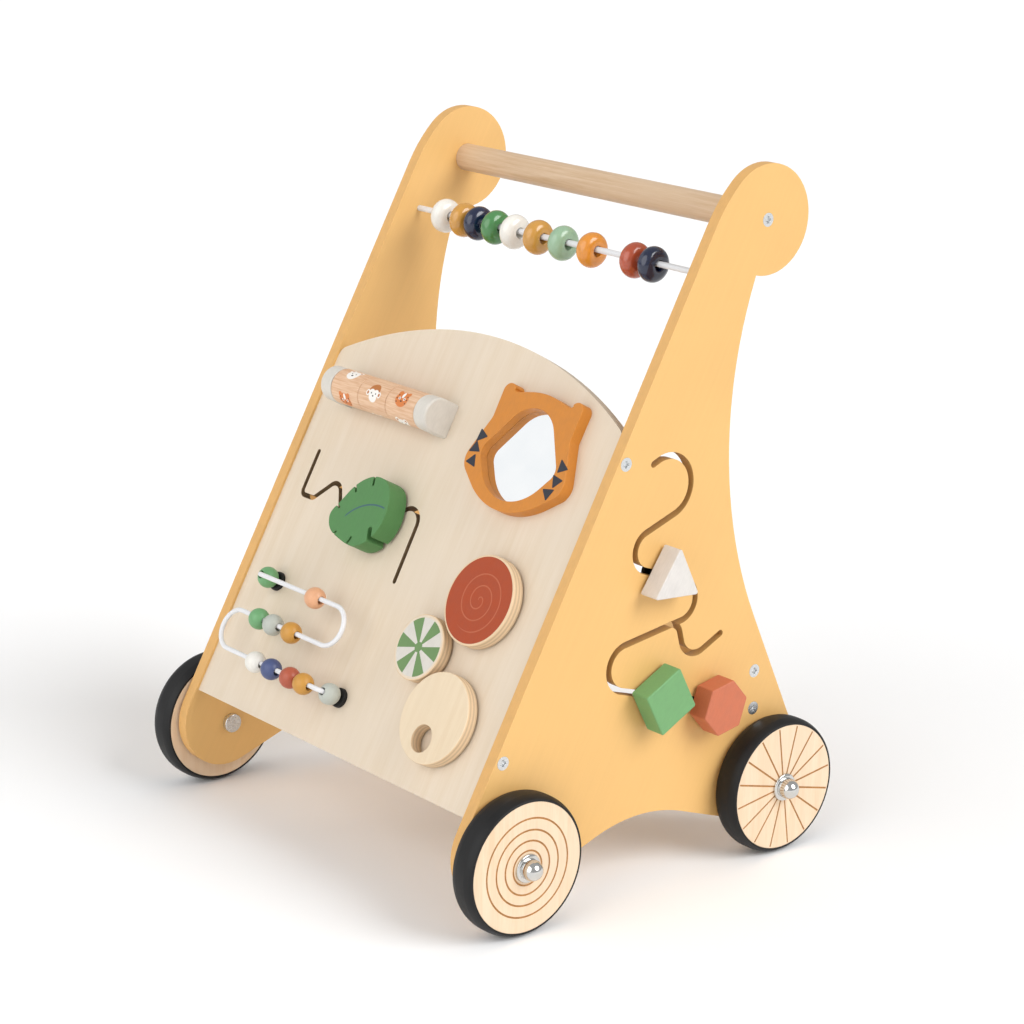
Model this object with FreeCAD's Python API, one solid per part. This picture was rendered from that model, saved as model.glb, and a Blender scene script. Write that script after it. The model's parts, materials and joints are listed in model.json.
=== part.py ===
import FreeCAD, Part
import math
import os

# Wooden baby walker. Millimetres, +Z up, the toy faces -Y and is pushed from +Y.
# Origin: on the floor, midway between the two side panels and midway between the axles.

Vec = FreeCAD.Vector

# ---------------------------------------------------------------- driving dimensions
INNER_WIDTH = 312.0            # clear distance between the side panels
PANEL_THICKNESS = 9.0
WHEELBASE = 232.8

# wheels
WHEEL_RADIUS = 49.0            # crown of the tyre
TYRE_EDGE_RADIUS = 46.2        # tyre at its two rims
WHEEL_DISC_RADIUS = 45.0
WHEEL_WIDTH = 20.0
WASHER_THICKNESS = 1.9
WASHER_RADIUS = 8.0
AXLE_RADIUS = 3.0
AXLE_HEAD_RADIUS = 7.0
AXLE_HEAD_THICKNESS = 4.0
AXLE_HEAD_ROUNDING = 0.8
NUT_FLANGE_RADIUS = 9.9
NUT_FLANGE_THICKNESS = 1.5
NUT_DOME_RADIUS = 7.2
NUT_DOME_CENTRE = 5.0          # dome centre above the nut's seat, where the bolt ends
NUT_TIP_ROOM = 0.5             # bore beyond the bolt's end

# side panel outline, seen from the side (Y to the right, Z up)
LOBE_RADIUS = 36.5             # round foot over each axle
LOBE_RISE = 4.7                # foot centre above the axle
FRONT_LOBE_LEAD = 2.9          # foot centre ahead of the front axle
REAR_LOBE_LEAD = 1.1           # foot centre behind the rear axle
ARCH_RADIUS = 116.0
ARCH_CROWN = 49.8              # underside of the panel between the wheels
FRONT_SLOPE_DEG = 61.22        # front edge above the horizontal
HEAD_RADIUS = 37.7
HEAD_HEIGHT = 448.0            # centre of the round head, on the handle's axis
HEAD_SETBACK = 41.3            # head centre behind the front edge
BROW_RADIUS = 110.0            # soft bend from the front edge into the head
NECK_DEG = -104.3              # sharp inner corner under the head
WAIST_RADIUS = 309.8
WAIST_HEIGHT = 303.0           # where the rear edge stands upright

# activity board
BOARD_THICKNESS = 9.0
BOARD_SETBACK = 2.0            # face behind the panels' front edge
BOARD_START = 92.8             # lower edge, along the slope from the floor
BOARD_LENGTH = 309.6           # lower edge to the top of the arch
BOARD_ARCH_RADIUS = 330.0
BOARD_SHOULDER_RADIUS = 9.0

# cross pieces and fasteners
BRACE_THICKNESS = 9.0
BRACE_HEIGHT = 50.0
BRACE_LEAD = 12.1              # centre ahead of the rear foot's centre
BRACE_RISE = 63.5              # centre above the rear foot's centre
HANDLE_RADIUS = 10.0
SEAT_DEPTH = 3.0               # blind seats of the handle and of the bead rail
RAIL_RADIUS = 2.15
RAIL_SETBACK = 18.8            # behind the front edge
RAIL_HEIGHT = 414.15
SCREW_RADIUS = 2.0
SCREW_HEAD_RADIUS = 4.8
SCREW_LENGTH = 38.0
SCREW_HEAD_DEPTH = 2.8
SCREW_TIP_ROOM = 1.0           # hole beyond the screw's tip
CROSS_ARM = 2.4
CROSS_WIDTH = 0.9
CROSS_DEPTH = 1.4
BRACE_SCREW_SPACING = 27.5
BOARD_SCREW_LOW = 42.4         # board screws, measured along the board from its lower edge
BOARD_SCREW_HIGH = 252.5

# beads
SAUCER_RADIUS = 12.5
SAUCER_WIDTH = 13.0
SAUCER_BORE = 3.7
SAUCER_GAPS = (25.0, 8.9, 3.3, 6.9, 8.3, 12.9, 14.1, 17.8, 31.8, 5.0)   # free rail before each bead
BALL_RADIUS = 7.7
BALL_BORE = 2.9
COUNTERSINK = 0.7

# bent wire with round beads; places from the board's left edge and lower edge
WIRE_RADIUS = 1.75
WIRE_HEADROOM = 1.184          # from the bead on each foot up to the level run
WIRE_BEND = 4.5                # where the wire turns down to the board
WIRE_TOP = 95.1                # the three level runs, above the board's lower edge
WIRE_RUN_SPACING = 28.9
WIRE_LEFT = 38.5               # centre of the left loop bend
WIRE_RIGHT = 134.5             # centre of the right loop bend
WIRE_TOP_FOOT = 38.0           # where the wire leaves the board
WIRE_LOW_FOOT = 151.0
BUMPER_RADIUS = 7.0
BUMPER_HEIGHT = 3.0
BUMPER_ROUNDING = 1.2
WIRE_END_DEPTH = 7.0           # how far the wire's feet go into the board
TOP_RUN_GAPS = (57.9,)         # free wire before each bead, from the left end of the run
MIDDLE_RUN_GAPS = (13.0, 1.7, 6.8)
LOW_RUN_GAPS = (6.6, 0.5, 7.3, 3.8)              # from the right end of the run

# mirror; centre from the board's right edge, chin from the board's lower edge
MIRROR_MARGIN = 75.7
MIRROR_CHIN = 195.3
MIRROR_THICKNESS = 9.0
MIRROR_PLATE_THICKNESS = 2.0
MIRROR_REBATE = 4.0            # how far the plate reaches under the frame
# tangent circles of the frame, from the chin: (centre, radius), the right half
MIRROR_CHIN_CIRCLE = ((0.0, 60.8), 60.8)
MIRROR_JAW = ((39.3, 29.0), 12.0)
MIRROR_EAR_ROOT = ((48.6, 61.0), -8.0)
MIRROR_EAR_TIP = ((34.9, 79.6), 6.0)
MIRROR_EAR_NOTCH = ((27.6, 84.2), -3.6)
MIRROR_CROWN = ((0.0, 15.9), 68.8)
# tangent circles of the opening
OPENING_CHIN = ((0.0, 45.6), 38.0)
OPENING_CHEEK = ((29.8, 36.0), 8.5)
OPENING_CROWN = ((0.0, 47.3), 26.5)

# printed roller; left end from the board's left edge, axis below the top of the board
ROLLER_RADIUS = 12.7
ROLLER_CLEARANCE = 1.0         # above the board
ROLLER_LEFT = 25.6             # outer end of the left block
ROLLER_DROP = 66.2
ROLLER_BLOCK = 12.8
BLOCK_ROUNDING = 1.8
AXLE_SEAT = 6.0                # how far the roller's axle enters each block
DRUM_LENGTH = 31.9
DRUM_GAP = 0.4
DRUM_ROUNDING = 0.5
AXLE_END_ROOM = 0.5            # bore beyond the roller axle's end
ROLLER_AXLE_RADIUS = 3.0

# turning discs; centres from the board's right and lower edges
DISC_THICKNESS = 9.0
DISC_STANDOFF = 1.5
DISC_PIVOT_RADIUS = 3.0
DISC_PIVOT_DEPTH = 6.5
DISC_COLLAR_RADIUS = 8.0
DISC_ROUNDING = 0.8
LARGE_DISC = (56.6, 134.9, 31.7)
SMALL_DISC = (94.4, 90.8, 23.2)
FINGER_DISC = (53.5, 51.6, 31.8)
FINGER_HOLE_RADIUS = 9.7
FINGER_HOLE_X = -3.1
FINGER_HOLE_Y = -15.7

# slots and the flanged pins that run in them
BOARD_SLOT = 3.6
PANEL_SLOT = 4.6
PIN_SLACK = 0.15               # each side of a pin in its slot
PIN_FLANGE_RADIUS = 7.0
PIN_FLANGE_THICKNESS = 2.5
PIN_COLLAR = 2.5               # how far the collar stands out from the pin
PIN_GAP = 0.3                  # flange to panel, and collar to panel and knob
KNOB_STANDOFF = 2.0
KNOB_THICKNESS = 16.0
LEAF_THICKNESS = 17.0
KNOB_BORE_DEPTH = 11.0
KNOB_FRONT_WALL = 3.0          # least wood in front of the bore
TRIANGLE_SIDE = 39.5
SQUARE_SIDE = 33.6
HEXAGON_RADIUS = 20.0
KNOB_CORNER = 1.6
TRIANGLE_TURN_DEG = 85.8       # how the shapes stand on the panel
SQUARE_TURN_DEG = 72.4
HEXAGON_TURN_DEG = 10.7

# leaf: points of its rim round the pin
LEAF_RIM = (
    (-26.0, -7.5), (-20.0, -15.0), (-8.0, -19.0), (11.5, -20.3), (24.0, -11.5), (30.0, 3.0),
    (28.0, 17.0), (22.5, 26.5), (10.5, 31.0), (-3.0, 27.5), (-14.5, 17.0), (-22.2, 4.0),
)
# notches in the leaf's rim: mouth, direction in degrees towards the vein, depth, width
LEAF_NOTCHES = (
    ((-15.5, -19.0), 55.0, 4.5, 1.6),
    ((2.5, -22.0), 70.0, 7.0, 1.8),
    ((24.5, -15.0), 112.0, 10.0, 4.2),
    ((3.5, 31.0), -75.0, 6.5, 2.0),
    ((-12.8, 20.0), -50.0, 5.0, 1.8),
    ((-22.5, 2.5), -20.0, 3.0, 1.6),
)
NOTCH_LEAD = 4.0               # how far a notch is cut outwards past its mouth

# clearances
RUN_FIT = 0.05                 # radial, turning on a pin or axle
SEAT_FIT = 0.05                # radial, pieces that stay put
SIDE_GAP = 0.15                # beside a turning wheel
PLATE_FIT = 0.2                # mirror plate in its rebate
JOIN_TOLERANCE = 1e-4          # outline points closer than this are one point

PAST = 1.0                     # how far a cutting tool runs past a face

# ---------------------------------------------------------------- derived places
HALF = INNER_WIDTH / 2
OUTER = HALF + PANEL_THICKNESS
AXLE_Z = WHEEL_RADIUS
WHEEL_INNER = OUTER + WASHER_THICKNESS + SIDE_GAP
WHEEL_OUTER = WHEEL_INNER + WHEEL_WIDTH
NUT_SEAT = WHEEL_OUTER + SIDE_GAP

SLOPE = math.radians(FRONT_SLOPE_DEG)
UP = (math.cos(SLOPE), math.sin(SLOPE))          # up the front edge, as (y, z)
OUT = (-math.sin(SLOPE), math.cos(SLOPE))        # out of the activity board, as (y, z)

FRONT_LOBE = (-WHEELBASE / 2 - FRONT_LOBE_LEAD, AXLE_Z + LOBE_RISE)
REAR_LOBE = (WHEELBASE / 2 + REAR_LOBE_LEAD, AXLE_Z + LOBE_RISE)
BRACE_CENTRE_Y = REAR_LOBE[0] - BRACE_LEAD
BRACE_CENTRE_Z = REAR_LOBE[1] + BRACE_RISE
BALL_HALF = math.sqrt(BALL_RADIUS ** 2 - BALL_BORE ** 2)          # half a round bead's length
WIRE_STANDOFF = BUMPER_HEIGHT + PIN_GAP + 2 * BALL_HALF + WIRE_HEADROOM + WIRE_RADIUS
EDGE_TOUCH = (FRONT_LOBE[0] + LOBE_RADIUS * OUT[0], FRONT_LOBE[1] + LOBE_RADIUS * OUT[1])
FRONT_FOOT = EDGE_TOUCH[0] - EDGE_TOUCH[1] * UP[0] / UP[1]      # front edge line meets the floor


def on_slope(along, out):
    """Point (y, z) at a distance up the front edge line and out of it."""
    return (FRONT_FOOT + along * UP[0] + out * OUT[0], along * UP[1] + out * OUT[1])


def along_slope(height, out):
    """Distance up the front edge line at which a line parallel to it reaches a height."""
    return (height - out * OUT[1]) / UP[1]


HEAD = on_slope(along_slope(HEAD_HEIGHT, -HEAD_SETBACK), -HEAD_SETBACK)
RAIL = on_slope(along_slope(RAIL_HEIGHT, -RAIL_SETBACK), -RAIL_SETBACK)
FACE = -BOARD_SETBACK                            # the board's face, out of the edge line
BOARD_X_LEFT = -HALF
BOARD_X_RIGHT = HALF


# ---------------------------------------------------------------- outlines from tangent circles
def turn_point(point, angle, length):
    return (point[0] + length * math.cos(angle), point[1] + length * math.sin(angle))


def same_point(p, q):
    return math.hypot(q[0] - p[0], q[1] - p[1]) < JOIN_TOLERANCE


def tangent(first, second):
    """Line that leaves one circle and meets the next. A circle is (centre, radius); the radius is
    positive where the path turns left, negative where it turns right and 0 at a sharp point."""
    (a, ra), (b, rb) = first, second
    span = math.hypot(b[0] - a[0], b[1] - a[1])
    ratio = max(-1.0, min(1.0, (rb - ra) / span))
    heading = math.atan2(b[1] - a[1], b[0] - a[0]) - math.asin(ratio)
    side = heading - math.pi / 2
    leave, arrive = turn_point(a, side, ra), turn_point(b, side, rb)
    if same_point(leave, arrive):
        leave = arrive
    return leave, arrive


def flat(point):
    return Vec(point[0], point[1], 0)


def line_edge(p, q):
    if same_point(p, q):
        return []
    return [Part.LineSegment(flat(p), flat(q)).toShape()]


def arc_edge(centre, radius, p, q):
    """Arc about centre from p to q, to the left for a positive radius."""
    if radius == 0 or same_point(p, q):
        return []
    start = math.atan2(p[1] - centre[1], p[0] - centre[0])
    sweep = math.atan2(q[1] - centre[1], q[0] - centre[0]) - start
    sweep = sweep % (2 * math.pi) if radius > 0 else -((-sweep) % (2 * math.pi))
    middle = turn_point(centre, start + sweep / 2, abs(radius))
    return [Part.Arc(flat(p), flat(middle), flat(q)).toShape()]


def belt_face(circles):
    """Face inside a closed chain of tangent circles, taken anticlockwise."""
    count = len(circles)
    links = [tangent(circles[i], circles[(i + 1) % count]) for i in range(count)]
    edges = []
    for i in range(count):
        edges += line_edge(*links[i])
        centre, radius = circles[(i + 1) % count]
        edges += arc_edge(centre, radius, links[i][1], links[(i + 1) % count][0])
    return Part.Face(Part.Wire(edges))


def side_edges(stops, shift):
    """Edges of a track's side: the chain of circles moved to the left by shift."""
    moved = [(centre, radius - shift) for centre, radius in stops]
    links = [tangent(moved[i], moved[i + 1]) for i in range(len(moved) - 1)]
    edges = []
    for i, link in enumerate(links):
        edges += line_edge(*link)
        if i + 1 < len(links):
            edges += arc_edge(moved[i + 1][0], moved[i + 1][1], link[1], links[i + 1][0])
    return edges, links[0][0], links[-1][1]


def track_face(start, bends, end, width):
    """Face of a slot with round ends that runs round a chain of bends."""
    stops = [(start, 0.0)] + bends + [(end, 0.0)]
    left, left_start, left_end = side_edges(stops, width / 2)
    right, right_start, right_end = side_edges(stops, -width / 2)
    edges = left + arc_edge(end, -width / 2, left_end, right_end)
    edges += right[::-1] + arc_edge(start, -width / 2, right_start, left_start)
    return Part.Face(Part.Wire(Part.__sortEdges__(edges)))


# ---------------------------------------------------------------- solids
SIDE_TURN = FreeCAD.Rotation(Vec(1, 1, 1), 120)                  # local x, y, z to Y, Z, X
SLOPE_TURN = FreeCAD.Rotation(Vec(1, 0, 0), FRONT_SLOPE_DEG)     # local x, y, z to X, up, out


def beside(face, x, thickness):
    """Prism of a side-view face, from x outwards along +X."""
    solid = face.extrude(Vec(0, 0, thickness))
    solid.Placement = FreeCAD.Placement(Vec(x, 0, 0), SIDE_TURN)
    return solid


def board_place(x, y, height):
    """World place of a point on the board: x across, y above the board's lower edge, height off
    its face."""
    at = on_slope(BOARD_START + y, FACE + height)
    return FreeCAD.Placement(Vec(x, at[0], at[1]), SLOPE_TURN)


def on_board(solid, x, y, height=0.0):
    """Moves a solid made about the local origin to its place on the board."""
    solid.Placement = board_place(x, y, height).multiply(solid.Placement)
    return solid


def rod(radius, length, x, y, z):
    """Round bar along +X."""
    return Part.makeCylinder(radius, length, Vec(x, y, z), Vec(1, 0, 0))


def turned(points, axis=Vec(0, 0, 1)):
    """Solid of revolution. points are (along the axis, radius); the outline is closed by itself."""
    loop = [Vec(r, 0, a) for a, r in points]
    loop.append(loop[0])
    solid = Part.Face(Part.makePolygon(loop)).revolve(Vec(0, 0, 0), Vec(0, 0, 1), 360)
    solid = Part.Solid(solid) if solid.ShapeType != "Solid" else solid
    if axis != Vec(0, 0, 1):
        solid.Placement = FreeCAD.Placement(Vec(0, 0, 0), FreeCAD.Rotation(Vec(0, 0, 1), axis))
    return solid


def moved(solid, x, y, z):
    copy = solid.copy()
    copy.translate(Vec(x, y, z))
    return copy


def mirrored(solid):
    return solid.mirror(Vec(0, 0, 0), Vec(1, 0, 0))


def save(name, *solids):
    """Writes one node; several solids of the same kind share a node."""
    shape = solids[0] if len(solids) == 1 else Part.makeCompound(list(solids))
    shape.exportStep("parts/" + name + ".step")


# ---------------------------------------------------------------- screws
def cross_screw():
    """Countersunk cross-head screw along +X, its flat head at the origin."""
    head = [(0.0, 0.0), (0.0, SCREW_HEAD_RADIUS), (SCREW_HEAD_DEPTH, SCREW_RADIUS)]
    body = turned(head + [(SCREW_LENGTH, SCREW_RADIUS), (SCREW_LENGTH, 0.0)], Vec(1, 0, 0))
    for wide, tall in ((CROSS_ARM, CROSS_WIDTH), (CROSS_WIDTH, CROSS_ARM)):
        slot = Part.makeBox(CROSS_DEPTH, 2 * wide, 2 * tall, Vec(0, -wide, -tall))
        body = body.cut(slot)
    return body


def screw_hole():
    """Room for a screw: the countersink and the shank's hole."""
    mouth = SCREW_HEAD_RADIUS + SEAT_FIT
    head = [(-PAST, 0.0), (-PAST, mouth), (0.0, mouth)]
    shank = SCREW_RADIUS + SEAT_FIT
    tip = SCREW_LENGTH + SCREW_TIP_ROOM
    return turned(head + [(SCREW_HEAD_DEPTH, shank), (tip, shank), (tip, 0.0)], Vec(1, 0, 0))


def board_point(y):
    """Middle of the board's edge, as (y, z)."""
    return on_slope(BOARD_START + y, FACE - BOARD_THICKNESS / 2)


PANEL_SCREW_PLACES = (
    board_point(BOARD_SCREW_LOW),
    board_point(BOARD_SCREW_HIGH),
    (BRACE_CENTRE_Y, BRACE_CENTRE_Z - BRACE_SCREW_SPACING / 2),
    (BRACE_CENTRE_Y, BRACE_CENTRE_Z + BRACE_SCREW_SPACING / 2),
)


def screw_pair(tool, y, z):
    """A screw, or its hole, through each side panel, pointing inwards."""
    left = moved(tool, -OUTER, y, z)
    return [left, mirrored(left)]


def all_screws(tool):
    pairs = [screw_pair(tool, y, z) for y, z in PANEL_SCREW_PLACES]
    return [screw for pair in pairs for screw in pair]


# ---------------------------------------------------------------- tracks
# side track: seen from the right, as (y, z)
TRACK_START = (5.7, 295.8)
TRACK_TOP = ((18.7, 278.5), -21.0)
TRACK_LEFT = ((5.2, 236.5), 14.0)
TRACK_RIGHT = ((32.2, 196.5), -14.5)
TRACK_LOW = ((-13.3, 158.5), 16.5)
TRACK_END = (62.1, 118.0)
BRANCH_START = (24.2, 181.0)
BRANCH_BENDS = [((24.7, 172.0), -9.0), ((48.7, 170.0), 13.8)]
BRANCH_END = (71.2, 165.5)

# board slot: from the board's left edge and lower edge
SLOT_START = (22.8, 193.6)
SLOT_CORNER = ((26.8, 164.4), 4.0)
SLOT_RISE = ((35.7, 164.4), 4.0)
SLOT_PEAK = ((56.5, 168.6), -7.5)
SLOT_VALLEY = ((86.0, 152.1), 9.0)
SLOT_SHOULDER = ((145.0, 167.1), -10.5)
SLOT_END = (156.3, 126.1)


def stretch(first, second, share):
    """Point on the straight run between two bends, and the run's direction."""
    p, q = tangent(first, second)
    length = math.hypot(q[0] - p[0], q[1] - p[1])
    along = ((q[0] - p[0]) / length, (q[1] - p[1]) / length)
    return (p[0] + share * (q[0] - p[0]), p[1] + share * (q[1] - p[1])), along


TRIANGLE_AT, TRIANGLE_ALONG = stretch(TRACK_LEFT, TRACK_RIGHT, 0.38)
SQUARE_AT, SQUARE_ALONG = stretch(TRACK_LOW, (TRACK_END, 0.0), 0.366)
HEXAGON_AT = TRACK_END
LEAF_AT, LEAF_ALONG = stretch(SLOT_VALLEY, SLOT_SHOULDER, 0.44)


# ---------------------------------------------------------------- side panels
def panel_face():
    arch = (0.0, ARCH_CROWN - ARCH_RADIUS)
    neck = turn_point(HEAD, math.radians(NECK_DEG), HEAD_RADIUS)
    reach = math.sqrt(WAIST_RADIUS ** 2 - (neck[1] - WAIST_HEIGHT) ** 2)
    waist = (neck[0] + reach, WAIST_HEIGHT)
    drop = math.sqrt((BROW_RADIUS - HEAD_RADIUS) ** 2 - (BROW_RADIUS - HEAD_SETBACK) ** 2)
    brow = on_slope(along_slope(HEAD_HEIGHT, -HEAD_SETBACK) - drop, -BROW_RADIUS)
    return belt_face([
        (FRONT_LOBE, LOBE_RADIUS),
        (arch, -ARCH_RADIUS),
        (REAR_LOBE, LOBE_RADIUS),
        (waist, -WAIST_RADIUS),
        (neck, 0.0),
        (HEAD, HEAD_RADIUS),
        (brow, BROW_RADIUS),
    ])


def plain_panel(x):
    """Panel blank with its axle holes and screw holes, and blind seats on the inner side."""
    panel = beside(panel_face(), x, PANEL_THICKNESS)
    for y in (-WHEELBASE / 2, WHEELBASE / 2):
        panel = panel.cut(rod(AXLE_RADIUS + SEAT_FIT, PANEL_THICKNESS + 2 * PAST, x - PAST, y, AXLE_Z))
    for hole in all_screws(screw_hole()) + screw_pair(screw_hole(), HEAD[0], HEAD[1]):
        panel = panel.cut(hole)
    seats = 2 * (HALF + SEAT_DEPTH)
    panel = panel.cut(rod(HANDLE_RADIUS + SEAT_FIT, seats, -seats / 2, HEAD[0], HEAD[1]))
    return panel.cut(rod(RAIL_RADIUS + SEAT_FIT, seats, -seats / 2, RAIL[0], RAIL[1]))


def side_track():
    bends = [TRACK_TOP, TRACK_LEFT, TRACK_RIGHT, TRACK_LOW]
    depth = PANEL_THICKNESS + 2 * PAST
    main = beside(track_face(TRACK_START, bends, TRACK_END, PANEL_SLOT), HALF - PAST, depth)
    branch_face = track_face(BRANCH_START, BRANCH_BENDS, BRANCH_END, PANEL_SLOT)
    return main.fuse(beside(branch_face, HALF - PAST, depth))


def build_panels():
    save("left_side_panel", plain_panel(-OUTER))
    save("right_side_panel", plain_panel(HALF).cut(side_track()))


# ---------------------------------------------------------------- activity board
def board_face():
    """Board outline: square lower corners, arched top with small round shoulders."""
    centre = (0.0, BOARD_LENGTH - BOARD_ARCH_RADIUS)
    shoulder_x = HALF - BOARD_SHOULDER_RADIUS
    reach = BOARD_ARCH_RADIUS - BOARD_SHOULDER_RADIUS
    shoulder_y = centre[1] + math.sqrt(reach ** 2 - shoulder_x ** 2)
    return belt_face([
        ((-HALF, 0.0), 0.0),
        ((HALF, 0.0), 0.0),
        ((shoulder_x, shoulder_y), BOARD_SHOULDER_RADIUS),
        (centre, BOARD_ARCH_RADIUS),
        ((-shoulder_x, shoulder_y), BOARD_SHOULDER_RADIUS),
    ])


def board_slot():
    bends = [SLOT_CORNER, SLOT_RISE, SLOT_PEAK, SLOT_VALLEY, SLOT_SHOULDER]
    face = track_face(SLOT_START, bends, SLOT_END, BOARD_SLOT)
    slot = face.extrude(Vec(0, 0, BOARD_THICKNESS + 2 * PAST))
    return on_board(slot, BOARD_X_LEFT, 0.0, -BOARD_THICKNESS - PAST)


def board_bore(radius, x, y):
    """Hole straight through the board."""
    bore = Part.makeCylinder(radius, BOARD_THICKNESS + 2 * PAST)
    return on_board(bore, x, y, -BOARD_THICKNESS - PAST)


def disc_centres():
    return [(BOARD_X_RIGHT - margin, y) for margin, y, radius in (LARGE_DISC, SMALL_DISC, FINGER_DISC)]


def wire_feet():
    low = WIRE_TOP - 2 * WIRE_RUN_SPACING
    return [(BOARD_X_LEFT + WIRE_TOP_FOOT, WIRE_TOP), (BOARD_X_LEFT + WIRE_LOW_FOOT, low)]


def build_board():
    board = board_face().extrude(Vec(0, 0, BOARD_THICKNESS))
    board = on_board(board, 0.0, 0.0, -BOARD_THICKNESS)
    board = board.cut(board_slot())
    for x, y in disc_centres():
        board = board.cut(board_bore(DISC_PIVOT_RADIUS + SEAT_FIT, x, y))
    for x, y in wire_feet():
        board = board.cut(board_bore(WIRE_RADIUS + SEAT_FIT, x, y))
    for hole in all_screws(screw_hole()):
        board = board.cut(hole)
    save("activity_board", board)


# ---------------------------------------------------------------- cross pieces
def build_cross_pieces():
    low = Vec(-HALF, BRACE_CENTRE_Y - BRACE_THICKNESS / 2, BRACE_CENTRE_Z - BRACE_HEIGHT / 2)
    brace = Part.makeBox(INNER_WIDTH, BRACE_THICKNESS, BRACE_HEIGHT, low)
    for hole in all_screws(screw_hole()):
        brace = brace.cut(hole)
    save("rear_brace", brace)
    reach = HALF + SEAT_DEPTH
    handle = rod(HANDLE_RADIUS, 2 * reach, -reach, HEAD[0], HEAD[1])
    for hole in screw_pair(screw_hole(), HEAD[0], HEAD[1]):
        handle = handle.cut(hole)
    save("handle_bar", handle)
    save("bead_rail", rod(RAIL_RADIUS, 2 * reach, -reach, RAIL[0], RAIL[1]))
    save("handle_screws", *screw_pair(cross_screw(), HEAD[0], HEAD[1]))
    save("panel_screws", *all_screws(cross_screw()))


# ---------------------------------------------------------------- wheels
def disc_blank():
    """Wooden disc with a straight bore, outer face towards +X."""
    bore = AXLE_RADIUS + RUN_FIT
    disc = rod(WHEEL_DISC_RADIUS, WHEEL_WIDTH, WHEEL_INNER, 0, 0)
    return disc.cut(rod(bore, WHEEL_WIDTH + 2 * PAST, WHEEL_INNER - PAST, 0, 0))


def tyre_blank():
    """Rubber ring with a crowned tread round the disc."""
    inner = WHEEL_DISC_RADIUS + SEAT_FIT
    a, b = Vec(WHEEL_INNER, 0, inner), Vec(WHEEL_INNER, 0, TYRE_EDGE_RADIUS)
    crown = Vec(WHEEL_INNER + WHEEL_WIDTH / 2, 0, WHEEL_RADIUS)
    c, d = Vec(WHEEL_OUTER, 0, TYRE_EDGE_RADIUS), Vec(WHEEL_OUTER, 0, inner)
    edges = [Part.LineSegment(a, b).toShape(), Part.Arc(b, crown, c).toShape()]
    edges += [Part.LineSegment(c, d).toShape(), Part.LineSegment(d, a).toShape()]
    return Part.Face(Part.Wire(edges)).revolve(Vec(0, 0, 0), Vec(1, 0, 0), 360)


def cap_nut():
    """Flanged nut with a domed end and a blind bore, along +X."""
    base = Part.makeCylinder(NUT_FLANGE_RADIUS, NUT_FLANGE_THICKNESS, Vec(NUT_SEAT, 0, 0), Vec(1, 0, 0))
    neck = Part.makeCylinder(NUT_DOME_RADIUS, NUT_DOME_CENTRE, Vec(NUT_SEAT, 0, 0), Vec(1, 0, 0))
    dome = Part.makeSphere(NUT_DOME_RADIUS, Vec(NUT_SEAT + NUT_DOME_CENTRE, 0, 0))
    back = Part.makeBox(2 * NUT_DOME_RADIUS, 4 * NUT_DOME_RADIUS, 4 * NUT_DOME_RADIUS,
                        Vec(NUT_SEAT - 2 * NUT_DOME_RADIUS, -2 * NUT_DOME_RADIUS, -2 * NUT_DOME_RADIUS))
    nut = base.fuse(neck).fuse(dome).cut(back).removeSplitter()
    depth = PAST + NUT_DOME_CENTRE + NUT_TIP_ROOM
    return nut.cut(rod(AXLE_RADIUS + SEAT_FIT, depth, NUT_SEAT - PAST, 0, 0))


def axle_bolt():
    """Flat-headed bolt from inside the panel to inside the nut, along +X."""
    head = rod(AXLE_HEAD_RADIUS, AXLE_HEAD_THICKNESS, HALF - AXLE_HEAD_THICKNESS, 0, 0)
    rim = [edge for edge in head.Edges if edge.BoundBox.XMax < HALF - AXLE_HEAD_THICKNESS / 2]
    head = head.makeFillet(AXLE_HEAD_ROUNDING, rim)
    shank = rod(AXLE_RADIUS, NUT_SEAT + NUT_DOME_CENTRE - HALF, HALF, 0, 0)
    return head.fuse(shank)


def washer():
    ring = rod(WASHER_RADIUS, WASHER_THICKNESS, OUTER, 0, 0)
    return ring.cut(rod(AXLE_RADIUS + SEAT_FIT, WASHER_THICKNESS + 2 * PAST, OUTER - PAST, 0, 0))


def at_corners(blank):
    """Copies for the front left, front right, rear left and rear right wheel."""
    placed = []
    for y in (-WHEELBASE / 2, WHEELBASE / 2):
        right = moved(blank, 0, y, AXLE_Z)
        placed += [mirrored(right), right]
    return placed


def build_wheels():
    names = ("front_left", "front_right", "rear_left", "rear_right")
    for name, disc, tyre in zip(names, at_corners(disc_blank()), at_corners(tyre_blank())):
        save(name + "_wheel", disc)
        save(name + "_tyre", tyre)
    save("wheel_bolts", *at_corners(axle_bolt()))
    save("wheel_washers", *at_corners(washer()))
    save("wheel_cap_nuts", *at_corners(cap_nut()))


# ---------------------------------------------------------------- beads
def saucer_bead():
    """Doughnut bead along X with a loose, countersunk bore."""
    half = SAUCER_WIDTH / 2
    rim = SAUCER_RADIUS - half
    ring = [
        Part.LineSegment(Vec(-half, 0, SAUCER_BORE + COUNTERSINK), Vec(-half, 0, rim)),
        Part.Arc(Vec(-half, 0, rim), Vec(0, 0, SAUCER_RADIUS), Vec(half, 0, rim)),
        Part.LineSegment(Vec(half, 0, rim), Vec(half, 0, SAUCER_BORE + COUNTERSINK)),
        Part.LineSegment(Vec(half, 0, SAUCER_BORE + COUNTERSINK), Vec(half - COUNTERSINK, 0, SAUCER_BORE)),
        Part.LineSegment(Vec(half - COUNTERSINK, 0, SAUCER_BORE), Vec(COUNTERSINK - half, 0, SAUCER_BORE)),
        Part.LineSegment(Vec(COUNTERSINK - half, 0, SAUCER_BORE), Vec(-half, 0, SAUCER_BORE + COUNTERSINK)),
    ]
    section = Part.Face(Part.Wire([piece.toShape() for piece in ring]))
    return section.revolve(Vec(0, 0, 0), Vec(1, 0, 0), 360)


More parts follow.
